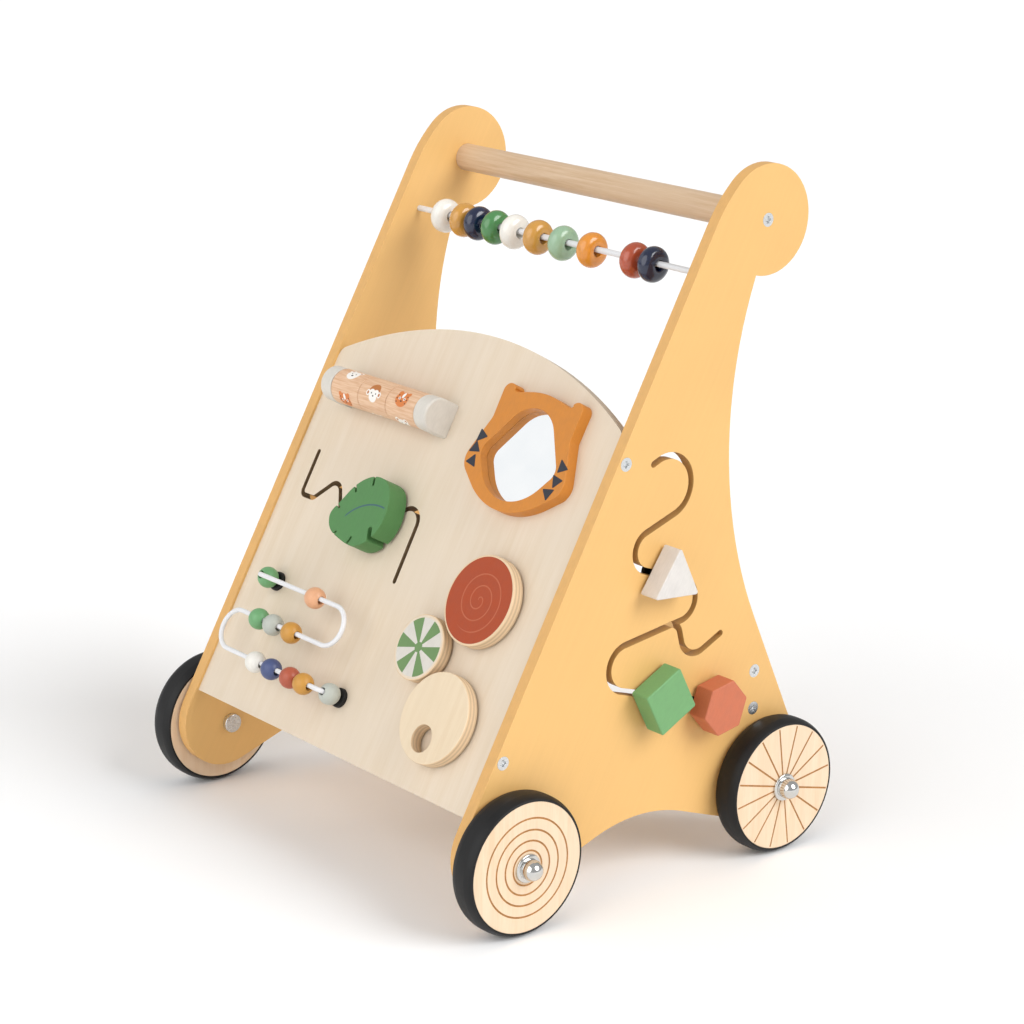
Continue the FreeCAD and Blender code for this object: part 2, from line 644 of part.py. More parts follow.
def ball_bead():
    """Round bead with a straight bore along X."""
    left, top, right = Vec(-BALL_HALF, 0, BALL_BORE), Vec(0, 0, BALL_RADIUS), Vec(BALL_HALF, 0, BALL_BORE)
    section = [Part.Arc(left, top, right).toShape(), Part.LineSegment(right, left).toShape()]
    return Part.Face(Part.Wire(section)).revolve(Vec(0, 0, 0), Vec(1, 0, 0), 360)


def build_rail_beads():
    """The loose bores let the beads hang a little below the rail."""
    hang = SAUCER_BORE - RAIL_RADIUS - PIN_GAP
    x = -HALF
    for number, gap in enumerate(SAUCER_GAPS, 1):
        x += gap + SAUCER_WIDTH / 2
        save("rail_bead_%d" % number, moved(saucer_bead(), x, RAIL[0], RAIL[1] - hang))
        x += SAUCER_WIDTH / 2


def wire_path():
    """Centre line of the bent wire in board coordinates: x, y and height off the face."""
    top, low = WIRE_TOP, WIRE_TOP - 2 * WIRE_RUN_SPACING
    middle = WIRE_TOP - WIRE_RUN_SPACING
    turn = WIRE_RUN_SPACING / 2
    high, bend = WIRE_STANDOFF, WIRE_BEND
    lean = bend * (1 - math.sqrt(0.5))
    left, right = WIRE_LEFT, WIRE_RIGHT
    foot_top, foot_low = WIRE_TOP_FOOT, WIRE_LOW_FOOT
    root = -WIRE_END_DEPTH
    return [
        ((foot_top, top, root), (foot_top, top, high - bend)),
        ((foot_top, top, high - bend), (foot_top + lean, top, high - lean), (foot_top + bend, top, high)),
        ((foot_top + bend, top, high), (right, top, high)),
        ((right, top, high), (right + turn, top - turn, high), (right, middle, high)),
        ((right, middle, high), (left, middle, high)),
        ((left, middle, high), (left - turn, middle - turn, high), (left, low, high)),
        ((left, low, high), (foot_low - bend, low, high)),
        ((foot_low - bend, low, high), (foot_low - lean, low, high - lean), (foot_low, low, high - bend)),
        ((foot_low, low, high - bend), (foot_low, low, root)),
    ]


def build_wire():
    edges = []
    for run in wire_path():
        points = [Vec(*point) for point in run]
        curve = Part.LineSegment(*points) if len(points) == 2 else Part.Arc(*points)
        edges.append(curve.toShape())
    path = Part.Wire(edges)
    first = wire_path()[0][0]
    section = Part.Wire([Part.makeCircle(WIRE_RADIUS, Vec(*first), Vec(0, 0, 1))])
    save("wire_loop", on_board(path.makePipeShell([section], True, False), BOARD_X_LEFT, 0.0))
    bumpers = []
    for x, y in wire_feet():
        ring = Part.makeCylinder(BUMPER_RADIUS, BUMPER_HEIGHT)
        rim = [edge for edge in ring.Edges if edge.BoundBox.ZMin > 0.5 * BUMPER_HEIGHT]
        ring = ring.makeFillet(BUMPER_ROUNDING, rim)
        bore = Part.makeCylinder(WIRE_RADIUS + SEAT_FIT, BUMPER_HEIGHT + 2 * PAST, Vec(0, 0, -PAST))
        ring = ring.cut(bore)
        bumpers.append(on_board(ring, x, y))
    save("wire_bumpers", *bumpers)


def bead_places(end, gaps, way):
    """Bead centres along a level run, from one end of it; way is 1 to the right, -1 to the left."""
    places = []
    for gap in gaps:
        places.append(end + way * (gap + BALL_RADIUS))
        end = places[-1] + way * BALL_RADIUS
    return places[::way]


def run_beads():
    """Bead centres on the top, middle and low runs, each from left to right."""
    return (
        bead_places(WIRE_TOP_FOOT + WIRE_BEND, TOP_RUN_GAPS, 1),
        bead_places(WIRE_LEFT, MIDDLE_RUN_GAPS, 1),
        bead_places(WIRE_LOW_FOOT - WIRE_BEND, LOW_RUN_GAPS, -1),
    )


def build_wire_beads():
    """Beads on the level runs hang from the wire; one bead sits on each foot of the wire."""
    hang = BALL_BORE - WIRE_RADIUS - PIN_GAP
    places = []
    for row, centres in enumerate(run_beads()):
        places += [(x, WIRE_TOP - row * WIRE_RUN_SPACING) for x in centres]
    beads = []
    for x, y in places:
        beads.append(moved(on_board(ball_bead(), BOARD_X_LEFT + x, y, WIRE_STANDOFF), 0, 0, -hang))
    seat = BUMPER_HEIGHT + PIN_GAP + BALL_HALF
    for x, y in wire_feet():
        upright = ball_bead()
        upright.rotate(Vec(0, 0, 0), Vec(0, 1, 0), 90)
        beads.append(on_board(upright, x, y, seat))
    for number, bead in enumerate(beads, 1):
        save("wire_bead_%d" % number, bead)


# ---------------------------------------------------------------- mirror
def other_side(circle):
    """The same circle on the left half."""
    centre, radius = circle
    return ((-centre[0], centre[1]), radius)


def mirror_opening(grow):
    """Egg-shaped opening, grown evenly; the origin is the chin."""
    circles = [OPENING_CHIN, OPENING_CHEEK, OPENING_CROWN, other_side(OPENING_CHEEK)]
    return belt_face([(centre, radius + grow) for centre, radius in circles])


def mirror_outline():
    """Round face with two ears; the origin is the chin."""
    half = [MIRROR_JAW, MIRROR_EAR_ROOT, MIRROR_EAR_TIP, MIRROR_EAR_NOTCH]
    other = [other_side(circle) for circle in half[::-1]]
    return belt_face([MIRROR_CHIN_CIRCLE] + half + [MIRROR_CROWN] + other)


def build_mirror():
    x = BOARD_X_RIGHT - MIRROR_MARGIN
    depth = MIRROR_PLATE_THICKNESS + PLATE_FIT
    frame = mirror_outline().extrude(Vec(0, 0, MIRROR_THICKNESS))
    opening = mirror_opening(0.0).extrude(Vec(0, 0, MIRROR_THICKNESS + PAST))
    rebate = mirror_opening(MIRROR_REBATE).extrude(Vec(0, 0, depth + PAST))
    rebate.translate(Vec(0, 0, -PAST))
    save("mirror_frame", on_board(frame.cut(opening).cut(rebate), x, MIRROR_CHIN))
    plate = mirror_opening(MIRROR_REBATE - PLATE_FIT).extrude(Vec(0, 0, MIRROR_PLATE_THICKNESS))
    save("mirror_plate", on_board(plate, x, MIRROR_CHIN, PLATE_FIT / 2))


# ---------------------------------------------------------------- roller
def roller_height():
    return ROLLER_RADIUS + ROLLER_CLEARANCE


def end_block():
    """Round-topped block with a flat foot. It stands on the board from x = 0 outwards to -x,
    centred on y = 0, with a blind bore for the axle in its inner end."""
    axis = roller_height()
    top = Part.makeCylinder(ROLLER_RADIUS, ROLLER_BLOCK, Vec(-ROLLER_BLOCK, 0, axis), Vec(1, 0, 0))
    foot = Part.makeBox(ROLLER_BLOCK, 2 * ROLLER_RADIUS, axis, Vec(-ROLLER_BLOCK, -ROLLER_RADIUS, 0))
    block = top.fuse(foot).removeSplitter()
    outer = [edge for edge in block.Edges if edge.BoundBox.XMax < -ROLLER_BLOCK / 2]
    outer = [edge for edge in outer if edge.BoundBox.ZMax > axis / 2]
    block = block.makeFillet(BLOCK_ROUNDING, outer)
    depth = AXLE_SEAT + AXLE_END_ROOM
    return block.cut(rod(ROLLER_AXLE_RADIUS + SEAT_FIT, depth + PAST, -depth, 0, axis))


def build_roller():
    y = BOARD_LENGTH - ROLLER_DROP
    start = BOARD_X_LEFT + ROLLER_LEFT + ROLLER_BLOCK
    pitch = DRUM_LENGTH + DRUM_GAP
    finish = start + 3 * pitch + DRUM_GAP
    left = end_block()
    right = mirrored(end_block())
    save("roller_end_blocks", on_board(left, start, y), on_board(right, finish, y))
    height = roller_height()
    axle = rod(ROLLER_AXLE_RADIUS, finish - start + 2 * AXLE_SEAT, -AXLE_SEAT, 0, height)
    save("roller_axle", on_board(axle, start, y))
    for index, name in enumerate(("left", "middle", "right")):
        x = DRUM_GAP + index * pitch
        drum = rod(ROLLER_RADIUS, DRUM_LENGTH, x, 0, height)
        rims = [edge for edge in drum.Edges if edge.BoundBox.XLength < DRUM_LENGTH / 2]
        drum = drum.makeFillet(DRUM_ROUNDING, rims)
        bore = rod(ROLLER_AXLE_RADIUS + RUN_FIT, DRUM_LENGTH + 2 * PAST, x - PAST, 0, height)
        drum = drum.cut(bore)
        save("roller_drum_" + name, on_board(drum, start, y))


# ---------------------------------------------------------------- turning discs
def turning_disc(radius):
    """Disc with a blind pivot bore in its back, standing off the board."""
    disc = Part.makeCylinder(radius, DISC_THICKNESS, Vec(0, 0, DISC_STANDOFF))
    rims = [edge for edge in disc.Edges if edge.BoundBox.ZLength < DISC_THICKNESS / 2]
    disc = disc.makeFillet(DISC_ROUNDING, rims)
    depth = DISC_PIVOT_DEPTH + PIN_GAP + PAST
    start = Vec(0, 0, DISC_STANDOFF - PAST)
    return disc.cut(Part.makeCylinder(DISC_PIVOT_RADIUS + RUN_FIT, depth, start))


def disc_pivot():
    """Pin through the board with a flange behind it and a collar under the disc."""
    back = -BOARD_THICKNESS - PIN_FLANGE_THICKNESS
    collar = DISC_STANDOFF - PIN_GAP
    return turned([
        (back, 0.0),
        (back, PIN_FLANGE_RADIUS),
        (-BOARD_THICKNESS, PIN_FLANGE_RADIUS),
        (-BOARD_THICKNESS, DISC_PIVOT_RADIUS),
        (0.0, DISC_PIVOT_RADIUS),
        (0.0, DISC_COLLAR_RADIUS),
        (collar, DISC_COLLAR_RADIUS),
        (collar, DISC_PIVOT_RADIUS),
        (DISC_STANDOFF + DISC_PIVOT_DEPTH, DISC_PIVOT_RADIUS),
        (DISC_STANDOFF + DISC_PIVOT_DEPTH, 0.0),
    ])


def build_discs():
    large, small, finger = disc_centres()
    save("large_disc", on_board(turning_disc(LARGE_DISC[2]), *large))
    save("small_disc", on_board(turning_disc(SMALL_DISC[2]), *small))
    start = Vec(FINGER_HOLE_X, FINGER_HOLE_Y, 0)
    hole = Part.makeCylinder(FINGER_HOLE_RADIUS, DISC_STANDOFF + DISC_THICKNESS + PAST, start)
    save("finger_disc", on_board(turning_disc(FINGER_DISC[2]).cut(hole), *finger))
    save("disc_pivots", *[on_board(disc_pivot(), x, y) for x, y in disc_centres()])


# ---------------------------------------------------------------- knobs on flanged pins
def spigot_length(knob_thickness):
    """How far a pin goes into its knob."""
    return min(KNOB_BORE_DEPTH, knob_thickness - KNOB_FRONT_WALL)


def slot_pin(slot, thickness, knob_thickness):
    """Pin through a slot: flange behind, collar in front, spigot in the knob. Along +Z, with the
    front face of the board or panel at z = 0."""
    radius = slot / 2 - PIN_SLACK
    back = -thickness - PIN_GAP
    tip = KNOB_STANDOFF + spigot_length(knob_thickness)
    return turned([
        (back - PIN_FLANGE_THICKNESS, 0.0),
        (back - PIN_FLANGE_THICKNESS, PIN_FLANGE_RADIUS),
        (back, PIN_FLANGE_RADIUS),
        (back, radius),
        (PIN_GAP, radius),
        (PIN_GAP, radius + PIN_COLLAR),
        (KNOB_STANDOFF - PIN_GAP, radius + PIN_COLLAR),
        (KNOB_STANDOFF - PIN_GAP, radius),
        (tip, radius),
        (tip, 0.0),
    ])


def knob(face, slot, thickness):
    """Prism standing off its panel, with softened corners and a blind bore for the pin."""
    solid = face.extrude(Vec(0, 0, thickness))
    solid.translate(Vec(0, 0, KNOB_STANDOFF))
    depth = spigot_length(thickness) + PIN_GAP + PAST
    start = Vec(0, 0, KNOB_STANDOFF - PAST)
    return solid.cut(Part.makeCylinder(slot / 2 - PIN_SLACK + RUN_FIT, depth, start))


def regular_outline(count, radius, turn_deg):
    """Regular polygon with rounded corners."""
    inset = KNOB_CORNER / math.cos(math.pi / count)
    corners = []
    for index in range(count):
        angle = math.radians(turn_deg) + index * 2 * math.pi / count
        corners.append((turn_point((0.0, 0.0), angle, radius - inset), KNOB_CORNER))
    return belt_face(corners)


def leaf_outline():
    """Broad leaf with a rounded rim, cut by narrow notches; the origin is the pin."""
    curve = Part.BSplineCurve()
    curve.interpolate([flat(point) for point in LEAF_RIM], PeriodicFlag=True)
    leaf = Part.Face(Part.Wire([curve.toShape()]))
    for mouth, heading, depth, width in LEAF_NOTCHES:
        inner = turn_point(mouth, math.radians(heading), depth)
        outer = turn_point(mouth, math.radians(heading), -NOTCH_LEAD)
        leaf = leaf.cut(track_face(outer, [], inner, width))
    return leaf.Faces[0]


def on_panel(solid, at):
    """Puts a solid made along +Z on the right panel's outer face at (y, z)."""
    solid.Placement = FreeCAD.Placement(Vec(OUTER, at[0], at[1]), SIDE_TURN).multiply(solid.Placement)
    return solid


def build_knobs():
    shapes = {
        "triangle": (regular_outline(3, TRIANGLE_SIDE / math.sqrt(3), TRIANGLE_TURN_DEG), TRIANGLE_AT),
        "square": (regular_outline(4, SQUARE_SIDE / math.sqrt(2), SQUARE_TURN_DEG), SQUARE_AT),
        "hexagon": (regular_outline(6, HEXAGON_RADIUS, HEXAGON_TURN_DEG), HEXAGON_AT),
    }
    for name, (outline, at) in shapes.items():
        save(name + "_knob", on_panel(knob(outline, PANEL_SLOT, KNOB_THICKNESS), at))
        save(name + "_pin", on_panel(slot_pin(PANEL_SLOT, PANEL_THICKNESS, KNOB_THICKNESS), at))
    leaf = knob(leaf_outline(), BOARD_SLOT, LEAF_THICKNESS)
    save("leaf_knob", on_board(leaf, BOARD_X_LEFT + LEAF_AT[0], LEAF_AT[1]))
    pin = slot_pin(BOARD_SLOT, BOARD_THICKNESS, LEAF_THICKNESS)
    save("leaf_pin", on_board(pin, BOARD_X_LEFT + LEAF_AT[0], LEAF_AT[1]))


def main():
    os.makedirs("parts", exist_ok=True)
    build_panels()
    build_board()
    build_cross_pieces()
    build_wheels()
    build_rail_beads()
    build_wire()
    build_wire_beads()
    build_mirror()
    build_roller()
    build_discs()
    build_knobs()


main()
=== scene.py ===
import json
import math
import bmesh
import bpy
from mathutils import Matrix, Vector

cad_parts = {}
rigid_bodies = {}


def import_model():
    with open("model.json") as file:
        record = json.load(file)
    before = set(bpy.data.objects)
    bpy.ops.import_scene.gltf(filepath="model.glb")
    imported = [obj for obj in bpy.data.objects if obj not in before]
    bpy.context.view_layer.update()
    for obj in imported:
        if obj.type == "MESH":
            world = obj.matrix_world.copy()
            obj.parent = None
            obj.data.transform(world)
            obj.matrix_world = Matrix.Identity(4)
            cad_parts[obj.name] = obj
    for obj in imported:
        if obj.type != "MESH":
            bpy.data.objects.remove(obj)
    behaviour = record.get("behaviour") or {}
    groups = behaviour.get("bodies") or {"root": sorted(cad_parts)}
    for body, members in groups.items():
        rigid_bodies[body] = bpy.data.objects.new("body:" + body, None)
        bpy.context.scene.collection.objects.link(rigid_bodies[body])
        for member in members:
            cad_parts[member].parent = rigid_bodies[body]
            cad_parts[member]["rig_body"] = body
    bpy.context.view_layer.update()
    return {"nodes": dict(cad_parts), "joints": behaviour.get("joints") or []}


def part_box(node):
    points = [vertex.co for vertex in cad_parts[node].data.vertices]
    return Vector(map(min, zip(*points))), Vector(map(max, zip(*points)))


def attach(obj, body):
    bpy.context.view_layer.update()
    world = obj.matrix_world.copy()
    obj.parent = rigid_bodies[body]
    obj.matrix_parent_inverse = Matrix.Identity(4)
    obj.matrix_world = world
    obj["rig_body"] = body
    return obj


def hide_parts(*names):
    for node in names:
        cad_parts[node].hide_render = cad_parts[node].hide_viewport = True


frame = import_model()

bl_info = {
    "name": "Baby Walker",
    "version": (1, 0, 0),
    "blender": (4, 5, 0),
    "location": "View3D > Sidebar > Walker",
    "description": "Finishes a wooden baby walker: veneers, paints, rubber, chrome and fine edges",
    "category": "Object",
}

MM = 0.001
NODES = frame["nodes"]
JOINTS = {joint["name"]: joint for joint in frame["joints"]}
WHEELS = ("front_left", "front_right", "rear_left", "rear_right")


# ------------------------------------------------------------------ colour and size settings
def linear(hex_colour):
    """Turns an sRGB hex value into linear red, green, blue and alpha."""
    values = [int(hex_colour[i:i + 2], 16) / 255 for i in (1, 3, 5)]
    return tuple(c / 12.92 if c <= 0.04045 else ((c + 0.055) / 1.055) ** 2.4 for c in values) + (1.0,)


def colour(name, description, hex_colour):
    return bpy.props.FloatVectorProperty(
        name=name, description=description, subtype="COLOR", size=4, min=0, max=1,
        default=linear(hex_colour))


def length(name, description, millimetres):
    return bpy.props.FloatProperty(
        name=name, description=description, default=millimetres * MM, min=0, unit="LENGTH")


class WalkerColours(bpy.types.PropertyGroup):
    """Colours of the woods, paints and metals."""
    panel: colour("Side panels", "Honey-yellow satin paint on the side panels", "#e4b672")
    panel_edge: colour("Panel edges", "Honey-yellow paint soaked into the sawn edges", "#dcab68")
    panel_slot: colour("Side track", "Painted walls of the side track", "#c29657")
    board: colour("Board", "Pale veneer of the activity board, summer wood", "#e0d1bd")
    board_dark: colour("Board grain", "Pale veneer of the activity board, winter wood", "#d9c7ae")
    board_slot: colour("Board slot", "Greyish brown walls of the slot in the board", "#8a7355")
    disc_wood: colour("Finger disc", "Sanded birch of the finger disc, summer wood", "#e6d3b6")
    disc_wood_dark: colour("Finger disc grain", "Sanded birch of the finger disc, winter wood", "#dfc9a9")
    turned: colour("Turned wood", "Handle, summer wood", "#d5ba9c")
    turned_dark: colour("Turned wood grain", "Handle, winter wood", "#c3a380")
    wheel: colour("Wheel wood", "Face of the wheels, summer wood", "#ead2b6")
    wheel_dark: colour("Wheel wood grain", "Face of the wheels, winter wood", "#e0c3a1")
    engraving: colour("Engraving", "Scorched lines on the wheels", "#b98550")
    white: colour("White paint", "Off-white paint of the roller blocks and petals", "#d4cfc6")
    bead_white: colour("White beads", "Warm white gloss paint", "#e9e6de")
    ochre: colour("Ochre paint", "Ochre beads", "#c99240")
    navy: colour("Navy paint", "Dark blue beads", "#101c3c")
    green: colour("Green paint", "Grass green beads", "#47834a")
    sage: colour("Sage paint", "Grey-green beads", "#93b394")
    orange: colour("Orange paint", "Orange beads", "#de8f30")
    rust: colour("Rust paint", "Brick red beads", "#b04d2e")
    peach: colour("Peach paint", "Peach beads", "#e0a880")
    grey: colour("Grey paint", "Pale grey beads", "#b9bdb4")
    leaf: colour("Leaf green", "Satin paint of the leaf knob", "#52844d")
    mirror_frame: colour("Mirror frame", "Orange paint of the mirror frame", "#cd822e")
    stripe: colour("Stripes", "Dark stripes on the mirror frame", "#252a36")
    disc_face: colour("Large disc", "Brick red face of the large disc", "#a8451f")
    square: colour("Square knob", "Soft green paint of the square knob", "#70a36b")
    hexagon: colour("Hexagon knob", "Terracotta paint of the hexagon knob", "#c46e4e")
    triangle: colour("Triangle knob", "Warm white paint of the triangle knob", "#d8d3ce")
    wire_green: colour("Wire green", "Soft green satin beads on the wire", "#6fa672")
    wire_navy: colour("Wire blue", "Slate blue satin beads on the wire", "#4a5680")
    wire_rust: colour("Wire rust", "Brick red satin beads on the wire", "#b0583f")
    petal: colour("Petals", "Green petals of the small disc", "#6b8c57")


class WalkerSizes(bpy.types.PropertyGroup):
    """Small sizes that finish the pieces."""
    edge: length("Edge rounding", "Rounding of the plywood edges", 0.7)
    knob_edge: length("Knob rounding", "Rounding of the painted knobs", 1.1)
    frame_edge: length("Mirror frame rounding", "Rounding of the mirror frame's front edge", 2.2)
    metal_edge: length("Metal rounding", "Rounding of screws, washers and pins", 0.25)
    groove: length("Engraved line", "Width of the engraved lines on the wheels", 1.3)
    groove_depth: length("Engraved depth", "Depth of the engraved lines", 0.3)
    bead_lip: length("Bead lip", "Rounding round the bore of a round bead", 0.5)


# ------------------------------------------------------------------ node helper
def add(tree, kind, inputs=None, stops=(), **settings):
    """Adds a shader node, sets its options, then sets or links its inputs."""
    made = tree.nodes.new("ShaderNode" + kind)
    for name, value in settings.items():
        setattr(made, name, value)
    for key, value in (inputs or {}).items():
        if isinstance(value, bpy.types.NodeSocket):
            tree.links.new(value, made.inputs[key])
        else:
            made.inputs[key].default_value = value
    for index, (position, shade) in enumerate(stops):
        ramp = made.color_ramp.elements
        stop = ramp[index] if index < len(ramp) else ramp.new(position)
        stop.position, stop.color = position, shade
    return made


def blank(name, roughness, **sockets):
    """A new material with its Principled shader's own sockets set."""
    material = bpy.data.materials.new(name)
    material.use_nodes = True
    tree = material.node_tree
    shader = tree.nodes["Principled BSDF"]
    shader.inputs["Roughness"].default_value = roughness
    for key, value in sockets.items():
        shader.inputs[key.replace("_", " ")].default_value = value
    return material, tree, shader


def surface_at(tree, size, turn=(0, 0, 0), centre=(0, 0, 0)):
    """Coordinates on the piece, counted in features of a real size in millimetres."""
    place = add(tree, "TexCoord").outputs["Object"]
    return add(tree, "Mapping", {
        "Vector": place, "Location": centre, "Rotation": turn,
        "Scale": [value * MM for value in size]}, vector_type="TEXTURE").outputs["Vector"]


def darker(shade, share):
    return tuple(value * share for value in shade[:3]) + (1.0,)


def cover(tree, shader, base=None, gloss=None, height=None, relief=0.1, depth=0.2):
    """Links a colour, a roughness and a height to the shader. depth is the height's full size in
    millimetres and relief is how much of it shows."""
    for socket, value in (("Base Color", base), ("Roughness", gloss)):
        if value is not None:
            tree.links.new(value, shader.inputs[socket])
    if height is not None:
        bump = add(tree, "Bump", {"Strength": relief, "Distance": depth * MM, "Height": height})
        tree.links.new(bump.outputs[0], shader.inputs["Normal"])


# ------------------------------------------------------------------ woods
SLOPE = math.atan2(-JOINTS["large_disc_turn"]["axis"][1], JOINTS["large_disc_turn"]["axis"][2])
BOARD_TURN = (SLOPE, 0, 0)


def wood(name, light, dark, fibre, turn=(0, 0, 0), roughness=0.5, contrast=1.0, relief=0.06):
    """Sliced or turned wood: broad growth bands, fine fibres and small pores. fibre is the size in
    millimetres of one band across, along and into the wood."""
    material, tree, shader = blank(name, roughness, Specular_IOR_Level=0.4)
    bands = add(tree, "TexNoise", {"Vector": surface_at(tree, fibre, turn), "Scale": 1.0, "Detail": 3.0,
                                   "Roughness": 0.55, "Distortion": 0.3})
    fine = [value * 0.14 for value in fibre]
    fibres = add(tree, "TexNoise", {"Vector": surface_at(tree, fine, turn), "Scale": 1.0, "Detail": 2.0})
    cloud = add(tree, "TexNoise", {"Vector": surface_at(tree, (60, 60, 60)), "Scale": 1.0, "Detail": 1.0})
    mixed = add(tree, "Mix", {0: 0.35, 2: bands.outputs[0], 3: fibres.outputs[0]}, data_type="FLOAT")
    spread = 0.5 / contrast
    ramp = add(tree, "ValToRGB", {0: mixed.outputs[0]}, stops=(
        (max(0.0, 0.5 - 0.3 * spread), dark), (min(1.0, 0.5 + 0.3 * spread), light)))
    shaded = add(tree, "Mix", {0: 0.5, 6: ramp.outputs[0], 7: darker(light, 0.93)}, data_type="RGBA")
    weight = add(tree, "MapRange", {0: cloud.outputs[0], 1: 0.35, 2: 0.75, 3: 0.0, 4: 0.7})
    tree.links.new(weight.outputs[0], shaded.inputs[0])
    gloss = add(tree, "MapRange", {
        0: mixed.outputs[0], 1: 0.3, 2: 0.7, 3: roughness - 0.07, 4: roughness + 0.07})
    cover(tree, shader, shaded.outputs[2], gloss.outputs[0], fibres.outputs[0], relief, 0.4)
    return material


def ply_edge(name, light, thickness_axis, ply=1.5, turn=(0, 0, 0), depth=0.78):
    """Sanded plywood edge: long-grain plies alternate with darker end-grain plies."""
    material, tree, shader = blank(name, 0.6, Specular_IOR_Level=0.3)
    parts = add(tree, "SeparateXYZ", {0: surface_at(tree, (ply, ply, ply), turn)})
    wave = add(tree, "Math", {0: parts.outputs[thickness_axis], 1: math.pi}, operation="MULTIPLY")
    wave = add(tree, "Math", {0: wave.outputs[0]}, operation="SINE")
    speck = add(tree, "TexNoise", {"Vector": surface_at(tree, (1.2, 1.2, 1.2)), "Scale": 1.0, "Detail": 3.0})
    total = add(tree, "Math", {0: speck.outputs[0], 1: 1.2, 2: wave.outputs[0]}, operation="MULTIPLY_ADD")
    level = add(tree, "MapRange", {0: total.outputs[0], 1: -0.5, 2: 1.7})
    ramp = add(tree, "ValToRGB", {0: level.outputs[0]}, stops=((0.25, darker(light, depth)), (0.7, light)))
    cover(tree, shader, ramp.outputs[0], height=total.outputs[0], relief=0.12, depth=0.3)
    return material


def scorched(name, shade):
    """Wood browned by the cutter: uneven brown with paler streaks and a dull surface."""
    material, tree, shader = blank(name, 0.7, Specular_IOR_Level=0.25)
    burn = add(tree, "TexNoise", {"Vector": surface_at(tree, (2.5, 2.5, 2.5)), "Scale": 1.0, "Detail": 4.0})
    ramp = add(tree, "ValToRGB", {0: burn.outputs[0]}, stops=((0.35, darker(shade, 0.72)), (0.68, shade)))
    cover(tree, shader, ramp.outputs[0], height=burn.outputs[0], relief=0.15, depth=0.2)
    return material


# ------------------------------------------------------------------ paints, rubber and metals
def brushed_in(tree, shader, shade, roughness, relief):
    """Shared finish of painted wood: the grain shows faintly through and the gloss varies a little."""
    grain = add(tree, "TexNoise", {"Vector": surface_at(tree, (0.9, 5.0, 0.9), BOARD_TURN), "Scale": 1.0,
                                   "Detail": 3.0})
    cloud = add(tree, "TexNoise", {"Vector": surface_at(tree, (7, 7, 7)), "Scale": 1.0, "Detail": 2.0})
    both = add(tree, "Mix", {0: 0.5, 2: grain.outputs[0], 3: cloud.outputs[0]}, data_type="FLOAT")
    ramp = add(tree, "ValToRGB", {0: both.outputs[0]}, stops=((0.3, darker(shade, 0.9)), (0.62, shade)))
    gloss = add(tree, "MapRange", {
        0: cloud.outputs[0], 1: 0.3, 2: 0.7, 3: roughness * 0.85, 4: roughness * 1.2})
    cover(tree, shader, ramp.outputs[0], gloss.outputs[0], grain.outputs[0], relief, 0.25)
    return ramp.outputs[0]


def satin_paint(name, shade, roughness=0.42, relief=0.05):
    """Water-based satin paint sprayed on sanded wood: soft highlight, faint grain."""
    material, tree, shader = blank(name, roughness, Specular_IOR_Level=0.45)
    brushed_in(tree, shader, shade, roughness, relief)
    return material


def panel_paint(name, shade):
    """Satin paint rolled over birch veneer: long faint grain lines under an even, fine-stippled coat."""
    material, tree, shader = blank(name, 0.46, Specular_IOR_Level=0.4)
    lean = (SLOPE - math.radians(90), 0, 0)
    grain = add(tree, "TexNoise", {"Vector": surface_at(tree, (2.2, 2.2, 90.0), lean), "Scale": 1.0,
                                   "Detail": 3.0})
    stipple = add(tree, "TexNoise", {"Vector": surface_at(tree, (0.7, 0.7, 0.7)), "Scale": 1.0,
                                     "Detail": 2.0})
    cloud = add(tree, "TexNoise", {"Vector": surface_at(tree, (80, 80, 80)), "Scale": 1.0, "Detail": 2.0})
    both = add(tree, "Mix", {0: 0.6, 2: grain.outputs[0], 3: cloud.outputs[0]}, data_type="FLOAT")
    ramp = add(tree, "ValToRGB", {0: both.outputs[0]}, stops=((0.35, darker(shade, 0.955)), (0.62, shade)))
    gloss = add(tree, "MapRange", {0: cloud.outputs[0], 1: 0.3, 2: 0.7, 3: 0.42, 4: 0.5})
    height = add(tree, "Mix", {0: 0.5, 2: grain.outputs[0], 3: stipple.outputs[0]}, data_type="FLOAT")
    cover(tree, shader, ramp.outputs[0], gloss.outputs[0], height.outputs[0], 0.05, 0.3)
    return material


def gloss_paint(name, shade):
    """Dipped gloss enamel on a turned bead: a clear skin with a sharp highlight."""
    material, tree, shader = blank(name, 0.22, Coat_Weight=0.6, Coat_Roughness=0.08)
    brushed_in(tree, shader, shade, 0.22, 0.015)
    return material


def moulded_black(name, shade="#1a1a1b", roughness=0.5):
    """Moulded black rubber or nylon: soft grey sheen, fine pitted skin and a trace of dust."""
    shade = linear(shade)
    material, tree, shader = blank(name, roughness, Specular_IOR_Level=0.3)
    pits = add(tree, "TexNoise", {"Vector": surface_at(tree, (0.6, 0.6, 0.6)), "Scale": 1.0, "Detail": 3.0})
    dust = add(tree, "TexNoise", {"Vector": surface_at(tree, (14, 14, 14)), "Scale": 1.0, "Detail": 4.0})
    ramp = add(tree, "ValToRGB", {0: dust.outputs[0]}, stops=((0.4, darker(shade, 0.75)), (0.72, shade)))
    gloss = add(tree, "MapRange", {
        0: dust.outputs[0], 1: 0.3, 2: 0.7, 3: roughness - 0.06, 4: roughness + 0.08})
    cover(tree, shader, ramp.outputs[0], gloss.outputs[0], pits.outputs[0], 0.1, 0.1)
    return material


